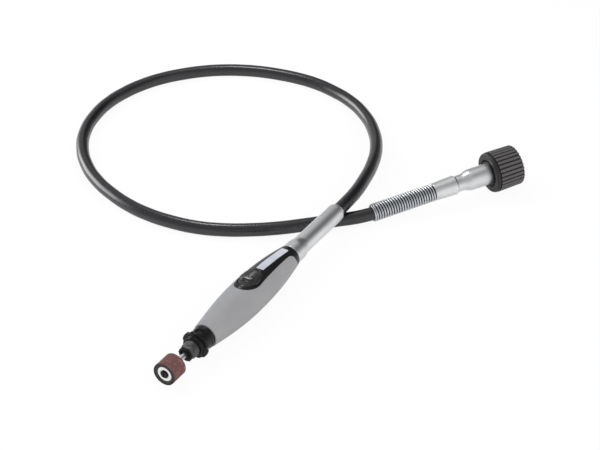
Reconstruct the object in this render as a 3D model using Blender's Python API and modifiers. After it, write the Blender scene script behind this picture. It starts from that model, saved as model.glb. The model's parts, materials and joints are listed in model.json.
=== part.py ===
"""Flexible-shaft handpiece for a rotary tool: handpiece, sanding drum, cable and motor coupling.

Metres, +Z up, lying on the ground plane. The handpiece and the coupling are each modelled upright on an empty
whose local Z runs along the tool, so every turned piece is a Screw around its own Z axis.
"""
import math

import bmesh
import bpy
from mathutils import Matrix, Vector
from mathutils.geometry import interpolate_bezier

# Fits
GAP = 0.00025            # between pieces that seat on each other
RUN_GAP = 0.0003         # round anything that turns or slides
MERGE = 0.00001
TURN = 2.0 * math.pi

# Where the two rigid ends lie, and the slopes at which they rest
HANDPIECE_PLACE = (0.1064, -0.0338)
HANDPIECE_DROOP = 1.25    # degrees, nose down
COUPLING_PLACE = (-0.0525, -0.0211)
COUPLING_YAW = 146.9      # degrees
COUPLING_RISE = 4.95      # degrees, nut end up

# Handpiece body: stations are measured forward from the shell's front face
NOSE_RADIUS = 0.0070
GRIP_SETBACK = 0.0015     # the grip's edge behind station zero
BELLY_RADIUS = 0.0108
BELLY_BACK = 0.041
REAR_RADIUS = 0.0068
BODY_LENGTH = 0.0868
REAR_TAPER = 2.2
GRIP_WALL = 0.0015
CORE_MIN_RADIUS = 0.0064
RIM_MARGIN = 0.0032       # from the grip's rear edge, at mid height, to the body's end
RIM_LINE = BODY_LENGTH - RIM_MARGIN
RIM_SLANT = 0.35          # its forward lean, per unit of height

# Eye and spine, where the shell shows through the grip
EYE_CENTRE = 0.0450
EYE_LENGTH = 0.0110
EYE_HALF_WIDTH = 0.0070
SPINE_HALF_WIDTH = 0.0049
FLARE_MARGIN = 0.0092     # from the flare's start to the body's end
FLARE_START = BODY_LENGTH - FLARE_MARGIN
FLARE_REACH = 0.0062

# Nose cap
FLANGE_RADIUS = 0.0080
FLANGE_BACK = 0.0065
FLANGE_FRONT = 0.0083
HUB_RADIUS = 0.0054
HUB_FRONT = 0.0100
FLANGE_SCALLOPS = 6
SCALLOP_RADIUS = 0.0030
SCALLOP_DEPTH = 0.0005
NECK_RADIUS = 0.0065
NECK_SLOT_WIDTH = 0.0056
NECK_SLOT_DEPTH = 0.0009
SEAL_RADIUS = 0.0046
SEAL_THICKNESS = 0.0025

# Spindle, collet and nut
THREAD_RADIUS = 0.00357
SPINDLE_FRONT = 0.0150
SPINDLE_SHOULDER = 0.0114
SPINDLE_REAR = 0.0720
COLLET_RADIUS = 0.00255
COLLET_REAR = 0.0050
COLLET_FRONT = 0.0170
COLLET_HEAD_RADIUS = 0.0030
SLIT_WIDTH = 0.0005
SLIT_REAR = 0.0077
SHANK_RADIUS = 0.0015875
SHANK_REAR = 0.0060
NUT_RADIUS = 0.0047
NUT_REAR = 0.0106
NUT_FRONT = 0.0172
NUT_FLATS = 0.0080        # across the six flats at the front
NUT_FLAT_LENGTH = 0.0030

# Ball bearings
BEARING_BORE = 0.0025
BEARING_RADIUS = 0.0050
BEARING_WIDTH = 0.0040
BALL_RADIUS = 0.0006
BALL_GAP = 0.0002
BALL_COUNT = 7
RACE_LIP = 0.0004         # height of each race's shoulder over its groove
REAR_BEARING_FRONT = 0.0620
WASHER_THICKNESS = 0.0005
CLIP_THICKNESS = 0.0009
CLIP_BITE = 0.0003

# Shaft lock
LOCK_STATION = 0.0455
SLEEVE_RADIUS = 0.0034
COLLAR_RADIUS = 0.0043
COLLAR_LENGTH = 0.0070
PIN_RADIUS = 0.0010
PIN_REST = 0.00055        # pin tip above the collar when released
LOCK_TRAVEL = 0.0020
BUTTON_FRONT = 0.0370
BUTTON_REAR = 0.0535
BUTTON_HALF_WIDTH = 0.0058
BUTTON_RISE = 0.0010      # dome over the body
BUTTON_PINCH = 0.12       # how much the outline narrows towards its point
TONGUE_SHARE = 0.46       # of the button's length
TONGUE_RISE = 0.0002
BUTTON_RIBS = 5
BUTTON_RIB_HEIGHT = 0.0002
WELL_FLOOR = 0.0066
BUTTON_SKIRT = WELL_FLOOR + LOCK_TRAVEL + RUN_GAP
POCKET_RADIUS = 0.0031
POCKET_TOP = 0.0098
SPRING_WIRE = 0.0004
SPRING_RADIUS = 0.0020
SPRING_TURNS = 4

# Label strip, left bare
LABEL_FRONT = 0.0555
LABEL_MARGIN = 0.0044     # from the strip to the body's end
LABEL_REAR = BODY_LENGTH - LABEL_MARGIN
LABEL_WIDTH = 0.0046
LABEL_DEPTH = 0.0003

# Sanding drum
DRUM_REAR = 0.0261
DRUM_LENGTH = 0.0104
BAND_RADIUS = 0.0066
BAND_WALL = 0.0005
DRUM_SEAT_RADIUS = 0.0045
DRUM_SEAT_DEPTH = 0.0008
DISC_RADIUS = 0.0034
DISC_THICKNESS = 0.0006
SPIGOT_RADIUS = 0.0015
SCREW_RADIUS = 0.0009
SCREW_HEAD_RADIUS = 0.0022
SCREW_HEAD_HEIGHT = 0.0011
SCREW_LENGTH = 0.0052

# Flexible shaft
SHEATH_RADIUS = 0.00405
SHEATH_WALL = 0.00105
LINER_RADIUS = 0.0026
LINER_WALL = 0.00055
CORE_RADIUS = 0.0016
CABLE_STEP = 0.0225
TIP_WIDTH = 0.0021
TIP_LENGTH = 0.0045
TIP_COLLAR_RADIUS = 0.0020
TIP_COLLAR_LENGTH = 0.0038

# Handpiece ferrule
FERRULE_BASE_RADIUS = 0.00645
FERRULE_RADIUS = 0.0055
FERRULE_COLLAR_LENGTH = 0.0082
FERRULE_FLARE_LENGTH = 0.0035
FERRULE_COLLAR_END = BODY_LENGTH + FERRULE_COLLAR_LENGTH
FERRULE_FLARE_END = FERRULE_COLLAR_END + FERRULE_FLARE_LENGTH
FERRULE_REAR = 0.1400
FERRULE_FRONT = 0.0685
FERRULE_STOP = 0.0930
CORE_PASSAGE = 0.0030

# Motor coupling: stations are measured outward from the guard spring's first coil
GUARD_LENGTH = 0.0424
GUARD_WIRE = 0.00115
GUARD_TURNS = 25
TUBE_MOUTH_RADIUS = 0.0054
TUBE_RADIUS = 0.0060
TUBE_END = 0.0568
TUBE_NECK_RADIUS = 0.00545
CONE_START = 0.0626
CONE_END = 0.0664
BARREL_RADIUS = 0.0066
COUPLING_STOP = 0.0540
SEAT_STATION = 0.0862     # front face of the ferrule, where the motor's nose seats
SEAT_RADIUS = 0.0088
SEAT_THICKNESS = 0.0022
CAVITY_RADIUS = 0.0049
CAVITY_REAR = 0.0655
BUSH_REAR = 0.0680
BUSH_SETBACK = 0.0040     # of the bush behind the seat
BUSH_FRONT = SEAT_STATION - BUSH_SETBACK
DRIVER_RADIUS = 0.0024
DRIVER_COLLAR = 0.0012
DRIVER_COLLAR_RADIUS = 0.0038
DRIVER_REACH = 0.0098     # of the square beyond the seat
DRIVER_FRONT = SEAT_STATION + DRIVER_REACH
DRIVER_SQUARE = 0.0034

# Coupling nut
COUPLING_NUT_RADIUS = 0.0127
COUPLING_NUT_MOUTH_RADIUS = 0.0124
COUPLING_NUT_BORE = 0.0095
COUPLING_NUT_SETBACK = 0.0054    # of its rear face behind the ferrule's seat
COUPLING_NUT_LENGTH = 0.0189
COUPLING_NUT_REAR = SEAT_STATION - COUPLING_NUT_SETBACK
COUPLING_NUT_FRONT = COUPLING_NUT_REAR + COUPLING_NUT_LENGTH
SHOULDER_LENGTH = 0.0024
SHOULDER_LIP_RADIUS = 0.0110
SHOULDER_GROOVE = 0.0004
RECESS_RADIUS = 0.0086
RECESS_DEPTH = 0.0013
RIB_COUNT = 24
FLUTE_RADIUS = 0.0010
FLUTE_DEPTH = 0.0006
RING_RADIUS = 0.0079
RING_THICKNESS = 0.0008
RING_GROOVE = 0.0005

# The cable's free run: x, y and the lift of its centre line above lying flat
CABLE_RUN = [
    (-0.0586, -0.0353, 0.0087), (-0.0736, -0.0384, 0.0078), (-0.0936, -0.0440, 0.0063),
    (-0.1166, -0.0536, 0.0044), (-0.1386, -0.0680, 0.0025), (-0.1556, -0.0842, 0.0010),
    (-0.1676, -0.1013, 0.0002), (-0.1746, -0.1193, 0.0), (-0.1778, -0.1358, 0.0),
    (-0.1778, -0.1498, 0.0), (-0.1760, -0.1628, 0.0), (-0.1729, -0.1753, 0.0),
    (-0.1681, -0.1873, 0.0), (-0.1616, -0.1988, 0.0), (-0.1531, -0.2096, 0.0),
    (-0.1426, -0.2192, 0.0), (-0.1301, -0.2278, 0.0), (-0.1156, -0.2342, 0.0),
    (-0.0996, -0.2379, 0.0), (-0.0826, -0.2388, 0.0), (-0.0646, -0.2360, 0.0),
    (-0.0450, -0.2290, 0.0), (-0.0261, -0.2170, 0.0), (-0.0099, -0.2008, 0.0),
    (0.0012, -0.1843, 0.0), (0.0086, -0.1678, 0.0), (0.0135, -0.1518, 0.0),
    (0.0158, -0.1358, 0.0), (0.0154, -0.1188, 0.0), (0.0124, -0.1023, 0.0),
    (0.0068, -0.0883, 0.0), (-0.0013, -0.0748, 0.0), (-0.0111, -0.0620, 0.0),
    (-0.0223, -0.0503, 0.0), (-0.0345, -0.0385, 0.0001),
]

# Facets
FINE = 24
MEDIUM = 18
ROUND = 16
SMALL = 12
GRIP_STEPS = 15
CORE_STEPS = 10


def material(name, color, roughness, metallic=0.0):
    found = bpy.data.materials.get(name) or bpy.data.materials.new(name)
    found.use_nodes = True
    shader = found.node_tree.nodes["Principled BSDF"]
    shader.inputs["Base Color"].default_value = (*color, 1.0)
    shader.inputs["Roughness"].default_value = roughness
    shader.inputs["Metallic"].default_value = metallic
    return found


def clear_scene():
    for obj in list(bpy.data.objects):
        bpy.data.objects.remove(obj, do_unlink=True)


def collection(name):
    made = bpy.data.collections.new(name)
    bpy.context.scene.collection.children.link(made)
    return made


def empty(name, place, forward, up=(0.0, 0.0, 1.0)):
    """A frame whose local Z points forward along the tool and whose local X points up."""
    z_axis = Vector(forward).normalized()
    x_axis = (Vector(up) - z_axis * z_axis.dot(Vector(up))).normalized()
    y_axis = z_axis.cross(x_axis)
    obj = bpy.data.objects.new(name, None)
    obj.empty_display_size = 0.02
    turned_to = Matrix((x_axis, y_axis, z_axis)).transposed().to_4x4()
    obj.matrix_world = Matrix.Translation(place) @ turned_to
    PARTS.objects.link(obj)
    return obj


def add(name, data, parent, looks, at=0.0):
    """One named piece on its parent frame, with its origin on the frame's axis."""
    obj = bpy.data.objects.new(name, data)
    PARTS.objects.link(obj)
    obj.parent = parent
    obj.location = (0.0, 0.0, at)
    if looks is not None:
        data.materials.append(looks)
    return obj


def as_cutter(obj):
    PARTS.objects.unlink(obj)
    CUTTERS.objects.link(obj)
    obj.hide_render = True
    obj.display_type = "WIRE"
    return obj


def turned(name, profile, parent, looks=None, sides=ROUND, at=0.0):
    """Turn (station, radius) points, listed front to rear down the outside, round the local Z axis."""
    mesh = bpy.data.meshes.new(name)
    points = [(radius, 0.0, station) for station, radius in profile]
    edges = [(i, i + 1) for i in range(len(points) - 1)]
    if profile[0][1] > 0.0:
        edges.append((len(points) - 1, 0))
    mesh.from_pydata(points, edges, [])
    return spun(add(name, mesh, parent, looks, at), sides)


def open_turned(name, outside, inside, parent, looks, sides=ROUND):
    """A turned piece with a blind bore: outside runs front to rear to the axis, inside runs axis to front."""
    mesh = bpy.data.meshes.new(name)
    points = [(radius, 0.0, station) for station, radius in outside + inside]
    last = len(outside) - 1
    edges = [(i, i + 1) for i in range(len(points) - 1) if i != last]
    edges.append((len(points) - 1, 0))
    mesh.from_pydata(points, edges, [])
    return spun(add(name, mesh, parent, looks), sides)


def spun(obj, sides):
    screw = obj.modifiers.new("Turn", "SCREW")
    screw.axis = "Z"
    screw.angle = TURN
    screw.steps = sides
    screw.render_steps = sides
    screw.use_merge_vertices = True
    screw.merge_threshold = MERGE
    return obj


def ring(name, front, rear, inner, outer, parent, looks=None, sides=ROUND, at=0.0):
    profile = [(front, outer), (rear, outer), (rear, inner), (front, inner)]
    return turned(name, profile, parent, looks, sides, at)


def rod(name, front, rear, radius, parent, looks=None, sides=SMALL, at=0.0):
    profile = [(front, 0.0), (front, radius), (rear, radius), (rear, 0.0)]
    return turned(name, profile, parent, looks, sides, at)


def box(name, low, high, parent):
    """A cutter block between two corners of the parent's frame."""
    mesh = bpy.data.meshes.new(name)
    shape = bmesh.new()
    bmesh.ops.create_cube(shape, size=1.0)
    centre = (Vector(low) + Vector(high)) / 2.0
    size = Vector(high) - Vector(low)
    place = Matrix.Translation(centre) @ Matrix.Diagonal((*size, 1.0))
    bmesh.ops.transform(shape, matrix=place, verts=shape.verts)
    shape.to_mesh(mesh)
    shape.free()
    return as_cutter(add(name, mesh, parent, None))


def boolean(obj, other, operation="DIFFERENCE"):
    step = obj.modifiers.new(operation.title(), "BOOLEAN")
    step.operation = operation
    step.solver = "EXACT"
    step.object = other
    return obj


def mesh_from(obj, looks=None):
    """Replace a curve object by the mesh it shows, with its loose caps welded."""
    bpy.context.view_layer.update()
    evaluated = obj.evaluated_get(bpy.context.evaluated_depsgraph_get())
    mesh = bpy.data.meshes.new_from_object(evaluated)
    shape = bmesh.new()
    shape.from_mesh(mesh)
    bmesh.ops.remove_doubles(shape, verts=shape.verts, dist=MERGE)
    shape.to_mesh(mesh)
    shape.free()
    name, parent, matrix = obj.name, obj.parent, obj.matrix_world.copy()
    curve = obj.data
    bpy.data.objects.remove(obj)
    bpy.data.curves.remove(curve)
    made = add(name, mesh, parent, looks)
    made.matrix_world = matrix
    return made


def prism(name, outline, low, high, parent):
    """A cutter through the handpiece between two heights, from a flat outline of (station, side) points."""
    curve = bpy.data.curves.new(name, "CURVE")
    curve.dimensions = "2D"
    curve.fill_mode = "BOTH"
    curve.extrude = (high - low) / 2.0
    spline = curve.splines.new("POLY")
    spline.points.add(len(outline) - 1)
    for point, (station, side) in zip(spline.points, outline):
        point.co = (station, side, 0.0, 1.0)
    spline.use_cyclic_u = True
    obj = add(name, curve, parent, None)
    # the curve's own X runs along the tool and its own Z points up
    obj.matrix_local = Matrix(((0, 0, 1, (high + low) / 2.0), (0, -1, 0, 0), (1, 0, 0, 0), (0, 0, 0, 1)))
    return as_cutter(mesh_from(obj))


def smooth(obj, angle=35.0):
    for modifier in obj.modifiers:
        if modifier.type == "SCREW":
            modifier.use_smooth_shade = True
    if obj.data.polygons:
        obj.data.shade_smooth()
        obj.data.set_sharp_from_angle(angle=math.radians(angle))
    return obj


# ---- handpiece body ----

def body_radius(station):
    """Outer radius of the body: a quarter sine to the belly, then a power curve to the rear rim."""
    back = -station
    if back <= BELLY_BACK:
        share = math.sin(math.pi / 2.0 * max(0.0, back) / BELLY_BACK)
        return NOSE_RADIUS + (BELLY_RADIUS - NOSE_RADIUS) * share
    share = ((back - BELLY_BACK) / (BODY_LENGTH - BELLY_BACK)) ** REAR_TAPER
    return BELLY_RADIUS - (BELLY_RADIUS - REAR_RADIUS) * share


def core_radius(station):
    """The shell under the grip."""
    return max(body_radius(station) - GRIP_WALL - GAP, CORE_MIN_RADIUS)


def body_stations(front, rear, count):
    return [front + (rear - front) * i / count for i in range(count + 1)]


def spine_outline(margin):
    """Eye, spine and flared foot, seen from above; margin widens it all round."""
    points = []
    arc_steps = 10
    for i in range(arc_steps + 1):
        turn = math.pi * (i / arc_steps - 0.5)
        station = -EYE_CENTRE + (EYE_LENGTH + margin) * math.cos(turn)
        points.append((station, (EYE_HALF_WIDTH + margin) * math.sin(turn)))
    side = []
    flare_steps = 4
    for i in range(flare_steps + 1):
        turn = math.pi / 2.0 * i / flare_steps
        station = -FLARE_START + margin - FLARE_REACH * math.sin(turn)
        side.append((station, SPINE_HALF_WIDTH + margin + FLARE_REACH / 2.0 * (1.0 - math.cos(turn))))
    end = side[-1]
    side.append((-BODY_LENGTH - NECK_RADIUS, end[1] + FLARE_REACH / 4.0))
    points += side
    points += [(station, -half) for station, half in reversed(side)]
    return points


def rear_slab(name, margin, parent):
    """Everything behind the slanted line where the grip ends."""
    reach = 2.0 * BELLY_RADIUS
    front_top = -RIM_LINE + margin + RIM_SLANT * reach
    front_bottom = -RIM_LINE + margin - RIM_SLANT * reach
    rear = -BODY_LENGTH - reach
    mesh = bpy.data.meshes.new(name)
    shape = bmesh.new()
    corners = [(reach, front_top), (reach, rear), (-reach, rear), (-reach, front_bottom)]
    face = shape.faces.new([shape.verts.new((x, -reach, z)) for x, z in corners])
    grown = bmesh.ops.extrude_face_region(shape, geom=[face])
    moved = [item for item in grown["geom"] if isinstance(item, bmesh.types.BMVert)]
    bmesh.ops.translate(shape, verts=moved, vec=(0.0, 2.0 * reach, 0.0))
    bmesh.ops.recalc_face_normals(shape, faces=shape.faces)
    shape.to_mesh(mesh)
    shape.free()
    return as_cutter(add(name, mesh, parent, None))


def spine_cutter(name, margin, parent):
    cutter = prism(name, spine_outline(margin), 0.0, 2.0 * BELLY_RADIUS, parent)
    return boolean(cutter, rear_slab(name + "_slab", margin, parent), "UNION")


def button_outline(margin):
    """A teardrop: round behind, pointed in front."""
    middle = -LOCK_STATION
    nose = LOCK_STATION - BUTTON_FRONT + margin
    tail = BUTTON_REAR - LOCK_STATION + margin
    half = BUTTON_HALF_WIDTH + margin
    points = []
    steps = 20
    for i in range(steps):
        turn = TURN * i / steps
        reach = nose if math.cos(turn) > 0.0 else tail
        pinch = 1.0 - BUTTON_PINCH * max(0.0, math.cos(turn)) ** 2
        points.append((middle + reach * math.cos(turn), half * math.sin(turn) * pinch))
    return points


def label_outline(margin):
    half = LABEL_WIDTH / 2.0 + margin
    front = -LABEL_FRONT + margin
    rear = -LABEL_REAR - margin
    corner = LABEL_WIDTH / 6.0
    return [(front, half - corner), (front, corner - half), (front - corner, -half), (rear + corner, -half),
            (rear, corner - half), (rear, half - corner), (rear + corner, half), (front - corner, half)]


def make_shell(frame):
    bore = BEARING_RADIUS + RUN_GAP
    core_end = -BODY_LENGTH + GAP
    outside = [(z, core_radius(z)) for z in body_stations(0.0, core_end, CORE_STEPS)]
    shell = turned("body_shell", outside + [(core_end, bore), (0.0, bore)], frame, BLACK_PLASTIC, FINE)
    skin_front = -EYE_CENTRE + EYE_LENGTH + 2.0 * GRIP_WALL
    stations = body_stations(skin_front, -BODY_LENGTH, CORE_STEPS)
    under = [(z, core_radius(z) - GRIP_WALL / 3.0) for z in reversed(stations)]
    skin = as_cutter(turned("spine_skin", [(z, body_radius(z)) for z in stations] + under, frame, None, FINE))
    boolean(skin, spine_cutter("spine_block", 0.0, frame), "INTERSECT")
    boolean(shell, skin, "UNION")
    boolean(shell, prism("button_well", button_outline(RUN_GAP), WELL_FLOOR, 2.0 * BELLY_RADIUS, frame))
    hole = as_cutter(rod("pin_hole", WELL_FLOOR + PIN_RADIUS, 0.0, PIN_RADIUS + RUN_GAP, frame))
    stand_up(hole)
    boolean(shell, hole)
    pocket_stations = body_stations(-LABEL_FRONT + LABEL_WIDTH, -LABEL_REAR - LABEL_WIDTH, 6)
    floor = [(z, body_radius(z) - LABEL_DEPTH - GAP) for z in reversed(pocket_stations)]
    roof = [(z, body_radius(z) + LABEL_WIDTH) for z in pocket_stations]
    pocket = as_cutter(turned("label_pocket", roof + floor, frame, None, FINE))
    pocket_edge = prism("label_pocket_edge", label_outline(GAP), 0.0, 2.0 * BELLY_RADIUS, frame)
    boolean(pocket, pocket_edge, "INTERSECT")
    boolean(shell, pocket)
    retainer_front = -rear_bearing_rear() - GAP
    groove = ring("retainer_groove", retainer_front + GAP, retainer_front - CLIP_THICKNESS - GAP,
                  bore - GAP, bore + CLIP_BITE + GAP, frame, None, FINE)
    boolean(shell, as_cutter(groove))
    return smooth(shell)


def make_label(frame):
    stations = body_stations(-LABEL_FRONT + LABEL_WIDTH, -LABEL_REAR - LABEL_WIDTH, 6)
    top = [(z, body_radius(z) + GAP / 2.0) for z in stations]
    under = [(z, body_radius(z) - LABEL_DEPTH) for z in reversed(stations)]
    strip = turned("label_strip", top + under, frame, PALE_LABEL, FINE)
    boolean(strip, prism("label_edge", label_outline(0.0), 0.0, 2.0 * BELLY_RADIUS, frame), "INTERSECT")
    smooth(strip)


def stand_up(obj, roll=0.0):
    """Turn a piece made along the tool to point up out of the button well, or a roll angle round from it."""
    upright = Matrix(((0, 0, 1, 0), (0, -1, 0, 0), (1, 0, 0, -LOCK_STATION), (0, 0, 0, 1)))
    obj.matrix_local = Matrix.Rotation(roll, 4, "Z") @ upright
    return obj


def rear_bearing_rear():
    return REAR_BEARING_FRONT + BEARING_WIDTH


def make_grip(frame):
    outside = [(z, body_radius(z)) for z in body_stations(-GRIP_SETBACK, -BODY_LENGTH, GRIP_STEPS)]
    inner = body_stations(-GRIP_SETBACK, -BODY_LENGTH, CORE_STEPS)
    inside = [(z, core_radius(z) + GAP) for z in reversed(inner)]
    grip = turned("soft_grip", outside + inside, frame, GREY_SOFT, FINE)
    boolean(grip, spine_cutter("grip_opening", GAP, frame))
    return smooth(grip)


def make_nose(frame):
    spigot_rear = -(front_bearing_front() - 2.0 * GAP - WASHER_THICKNESS)
    bore = THREAD_RADIUS + RUN_GAP
    seat = SEAL_RADIUS + GAP
    edge = 0.0004
    profile = [
        (HUB_FRONT, HUB_RADIUS - edge), (HUB_FRONT - edge, HUB_RADIUS), (FLANGE_FRONT, HUB_RADIUS),
        (FLANGE_FRONT, FLANGE_RADIUS - edge), (FLANGE_FRONT - edge, FLANGE_RADIUS),
        (FLANGE_BACK + edge, FLANGE_RADIUS), (FLANGE_BACK, FLANGE_RADIUS - edge),
        (FLANGE_BACK, NECK_RADIUS), (GAP, NECK_RADIUS),
        (GAP, BEARING_RADIUS), (spigot_rear, BEARING_RADIUS), (spigot_rear, bore),
        (HUB_FRONT - SEAL_THICKNESS - 2.0 * GAP, bore), (HUB_FRONT - SEAL_THICKNESS - 2.0 * GAP, seat),
        (HUB_FRONT, seat),
    ]
    nose = turned("nose_cap", profile, frame, BLACK_GLOSS, FINE)
    for i in range(FLANGE_SCALLOPS):
        turn = TURN * (i + 0.5) / FLANGE_SCALLOPS
        away = FLANGE_RADIUS + SCALLOP_RADIUS - SCALLOP_DEPTH
        cutter = as_cutter(rod(f"flange_scallop_{i}", FLANGE_FRONT + edge, FLANGE_BACK - GAP, SCALLOP_RADIUS,
                               frame, None, ROUND))
        cutter.location = (away * math.cos(turn), away * math.sin(turn), 0.0)
        boolean(nose, cutter)
    half = NECK_SLOT_WIDTH / 2.0
    inset = FLANGE_BACK / 6.0
    for side in (-1.0, 1.0):
        reach = sorted((side * (NECK_RADIUS - NECK_SLOT_DEPTH), side * 2.0 * NECK_RADIUS))
        slot = box(f"neck_slot_{'top' if side > 0 else 'bottom'}", (reach[0], -half, inset),
                   (reach[1], half, FLANGE_BACK - inset), frame)
        boolean(nose, slot)
    ring("felt_seal", HUB_FRONT - GAP, HUB_FRONT - GAP - SEAL_THICKNESS, bore, SEAL_RADIUS, frame, FELT)
    washer_front = spigot_rear - GAP
    ring("preload_washer", washer_front, washer_front - WASHER_THICKNESS, race_outer_shoulder(),
         BEARING_RADIUS, frame, STEEL)
    return smooth(nose)


# ---- bearings ----

def front_bearing_front():
    return SPINDLE_SHOULDER + GAP


def ball_circle():
    return (BEARING_BORE + BEARING_RADIUS) / 2.0


def race_outer_shoulder():
    return ball_circle() + BALL_RADIUS + BALL_GAP - RACE_LIP


def race_inner_shoulder():
    return ball_circle() - BALL_RADIUS - BALL_GAP + RACE_LIP


def make_bearing(label, front, frame):
    """Outer race, inner race and balls, with the front face at the given distance behind the shell's."""
    middle = -front - BEARING_WIDTH / 2.0
    half = BEARING_WIDTH / 2.0
    groove = BALL_RADIUS + BALL_GAP
    half_angle = math.acos((groove - RACE_LIP) / groove)
    arc = [half_angle * (i / 2.0 - 1.0) for i in range(5)]
    mean = ball_circle()
    outer = [(half, BEARING_RADIUS), (-half, BEARING_RADIUS), (-half, race_outer_shoulder())]
    outer += [(groove * math.sin(a), mean + groove * math.cos(a)) for a in arc]
    outer += [(half, race_outer_shoulder())]
    inner = [(half, race_inner_shoulder())]
    inner += [(-groove * math.sin(a), mean - groove * math.cos(a)) for a in arc]
    inner += [(-half, race_inner_shoulder()), (-half, BEARING_BORE), (half, BEARING_BORE)]
    smooth(turned(label + "_outer_race", outer, frame, STEEL, ROUND, middle))
    smooth(turned(label + "_inner_race", inner, frame, STEEL, ROUND, middle))
    mesh = bpy.data.meshes.new(label + "_ball")
    shape = bmesh.new()
    bmesh.ops.create_uvsphere(shape, u_segments=6, v_segments=4, radius=BALL_RADIUS)
    shape.to_mesh(mesh)
    shape.free()
    mesh.materials.append(CHROME)
    for i in range(BALL_COUNT):
        turn = TURN * i / BALL_COUNT
        ball = smooth(add(f"{label}_ball_{i + 1}", mesh, frame, None))
        ball.location = (mean * math.cos(turn), mean * math.sin(turn), middle)


# ---- spindle, collet, lock ----

def make_spindle(frame):
    journal = BEARING_BORE - GAP
    bore = COLLET_RADIUS + GAP
    drill = SHANK_RADIUS + RUN_GAP
    chamfer = 0.0005
    profile = [
        (SPINDLE_FRONT, THREAD_RADIUS - chamfer), (SPINDLE_FRONT - chamfer, THREAD_RADIUS),
        (-SPINDLE_SHOULDER, THREAD_RADIUS), (-SPINDLE_SHOULDER, journal), (-SPINDLE_REAR, journal),
        (-SPINDLE_REAR, 0.0),
    ]
    hollow = [(-SHANK_REAR - RUN_GAP, 0.0), (-SHANK_REAR - RUN_GAP, drill), (COLLET_REAR - GAP, drill),
              (COLLET_REAR - GAP, bore), (SPINDLE_FRONT, bore)]
    spindle = open_turned("spindle", profile, hollow, frame, STEEL)
    socket = TIP_WIDTH / 2.0 + GAP
    cutter = box("core_socket", (-socket, -socket, -SPINDLE_REAR - GAP),
                 (socket, socket, -SPINDLE_REAR + TIP_LENGTH + GAP), frame)
    boolean(spindle, cutter)
    clip_front = -rear_bearing_rear() - GAP
    ring_groove = ring("clip_groove", clip_front + GAP / 2.0, clip_front - CLIP_THICKNESS - GAP / 2.0,
                       journal - CLIP_BITE, journal + GAP, frame, None, ROUND)
    boolean(spindle, as_cutter(ring_groove))
    ring("spindle_clip", clip_front, clip_front - CLIP_THICKNESS, journal - CLIP_BITE + GAP / 2.0,
         race_inner_shoulder(), frame, DARK_STEEL)
    return smooth(spindle)


def button_top():
    """(station, radius) along the button's top: a low tongue, a step, then a dome ribbed crosswise."""
    step = -BUTTON_FRONT - TONGUE_SHARE * (BUTTON_REAR - BUTTON_FRONT)
    tongue = body_stations(-BUTTON_FRONT + BUTTON_RISE, step, 5)
    top = [(z, body_radius(z) + TONGUE_RISE) for z in tongue]
    last = 2 * BUTTON_RIBS
    for i, z in enumerate(body_stations(step - RUN_GAP, -BUTTON_REAR - BUTTON_RISE, last)):
        swell = math.sqrt(math.sin(math.pi * (i + 2) / (last + 4)))
        top.append((z, body_radius(z) + BUTTON_RISE * swell + BUTTON_RIB_HEIGHT * (i % 2)))
    return top


def make_lock(frame):
    front = -front_bearing_front() - BEARING_WIDTH - GAP
    rear = -REAR_BEARING_FRONT + GAP
    half = COLLAR_LENGTH / 2.0
    middle = -LOCK_STATION
    shoulder = race_inner_shoulder()
    lead = 0.0010
    profile = [(front, shoulder), (front - lead, SLEEVE_RADIUS), (middle + half, SLEEVE_RADIUS),
               (middle + half, COLLAR_RADIUS), (middle - half, COLLAR_RADIUS), (middle - half, SLEEVE_RADIUS),
               (rear + lead, SLEEVE_RADIUS), (rear, shoulder), (rear, BEARING_BORE), (front, BEARING_BORE)]
    sleeve = turned("lock_sleeve", profile, frame, DARK_STEEL, ROUND)
    reach = 2.0 * COLLAR_RADIUS
    for i in range(2):
        hole = as_cutter(rod(f"lock_hole_{i}", reach, -reach, PIN_RADIUS + RUN_GAP, frame))
        boolean(sleeve, stand_up(hole, TURN / 4.0 * i))
    smooth(sleeve)

    top = [(z - middle, radius) for z, radius in button_top()]
    top = [(top[0][0], 0.0)] + top + [(top[-1][0], 0.0)]
    button = turned("lock_button", top, frame, BLACK_PLASTIC, FINE, middle)
    edge = prism("button_edge", button_outline(0.0), BUTTON_SKIRT, 2.0 * BELLY_RADIUS, frame)
    boolean(button, edge, "INTERSECT")
    pocket = rod("spring_pocket", POCKET_TOP, 0.0, POCKET_RADIUS, frame, None, ROUND)
    boolean(button, stand_up(as_cutter(pocket)))
    smooth(button)
    smooth(stand_up(rod("lock_pin", POCKET_TOP - GAP, COLLAR_RADIUS + PIN_REST, PIN_RADIUS, frame, STEEL)))
    stand_up(helix("lock_spring", WELL_FLOOR + GAP, POCKET_TOP - GAP, SPRING_RADIUS, SPRING_WIRE,
                   SPRING_TURNS, 8, frame, CHROME))


def helix(name, start, end, radius, wire, turns, per_turn, parent, looks):
    """A wound spring of round wire between two stations."""
    curve = bpy.data.curves.new(name, "CURVE")
    curve.dimensions = "3D"
    curve.bevel_depth = wire / 2.0
    curve.bevel_resolution = 0
    curve.use_fill_caps = True
    spline = curve.splines.new("POLY")
    count = turns * per_turn
    spline.points.add(count)
    first, last = start + wire / 2.0, end - wire / 2.0
    for i, point in enumerate(spline.points):
        turn = TURN * i / per_turn
        station = first + (last - first) * i / count
        point.co = (radius * math.cos(turn), radius * math.sin(turn), station, 1.0)
    return add(name, curve, parent, looks)


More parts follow.
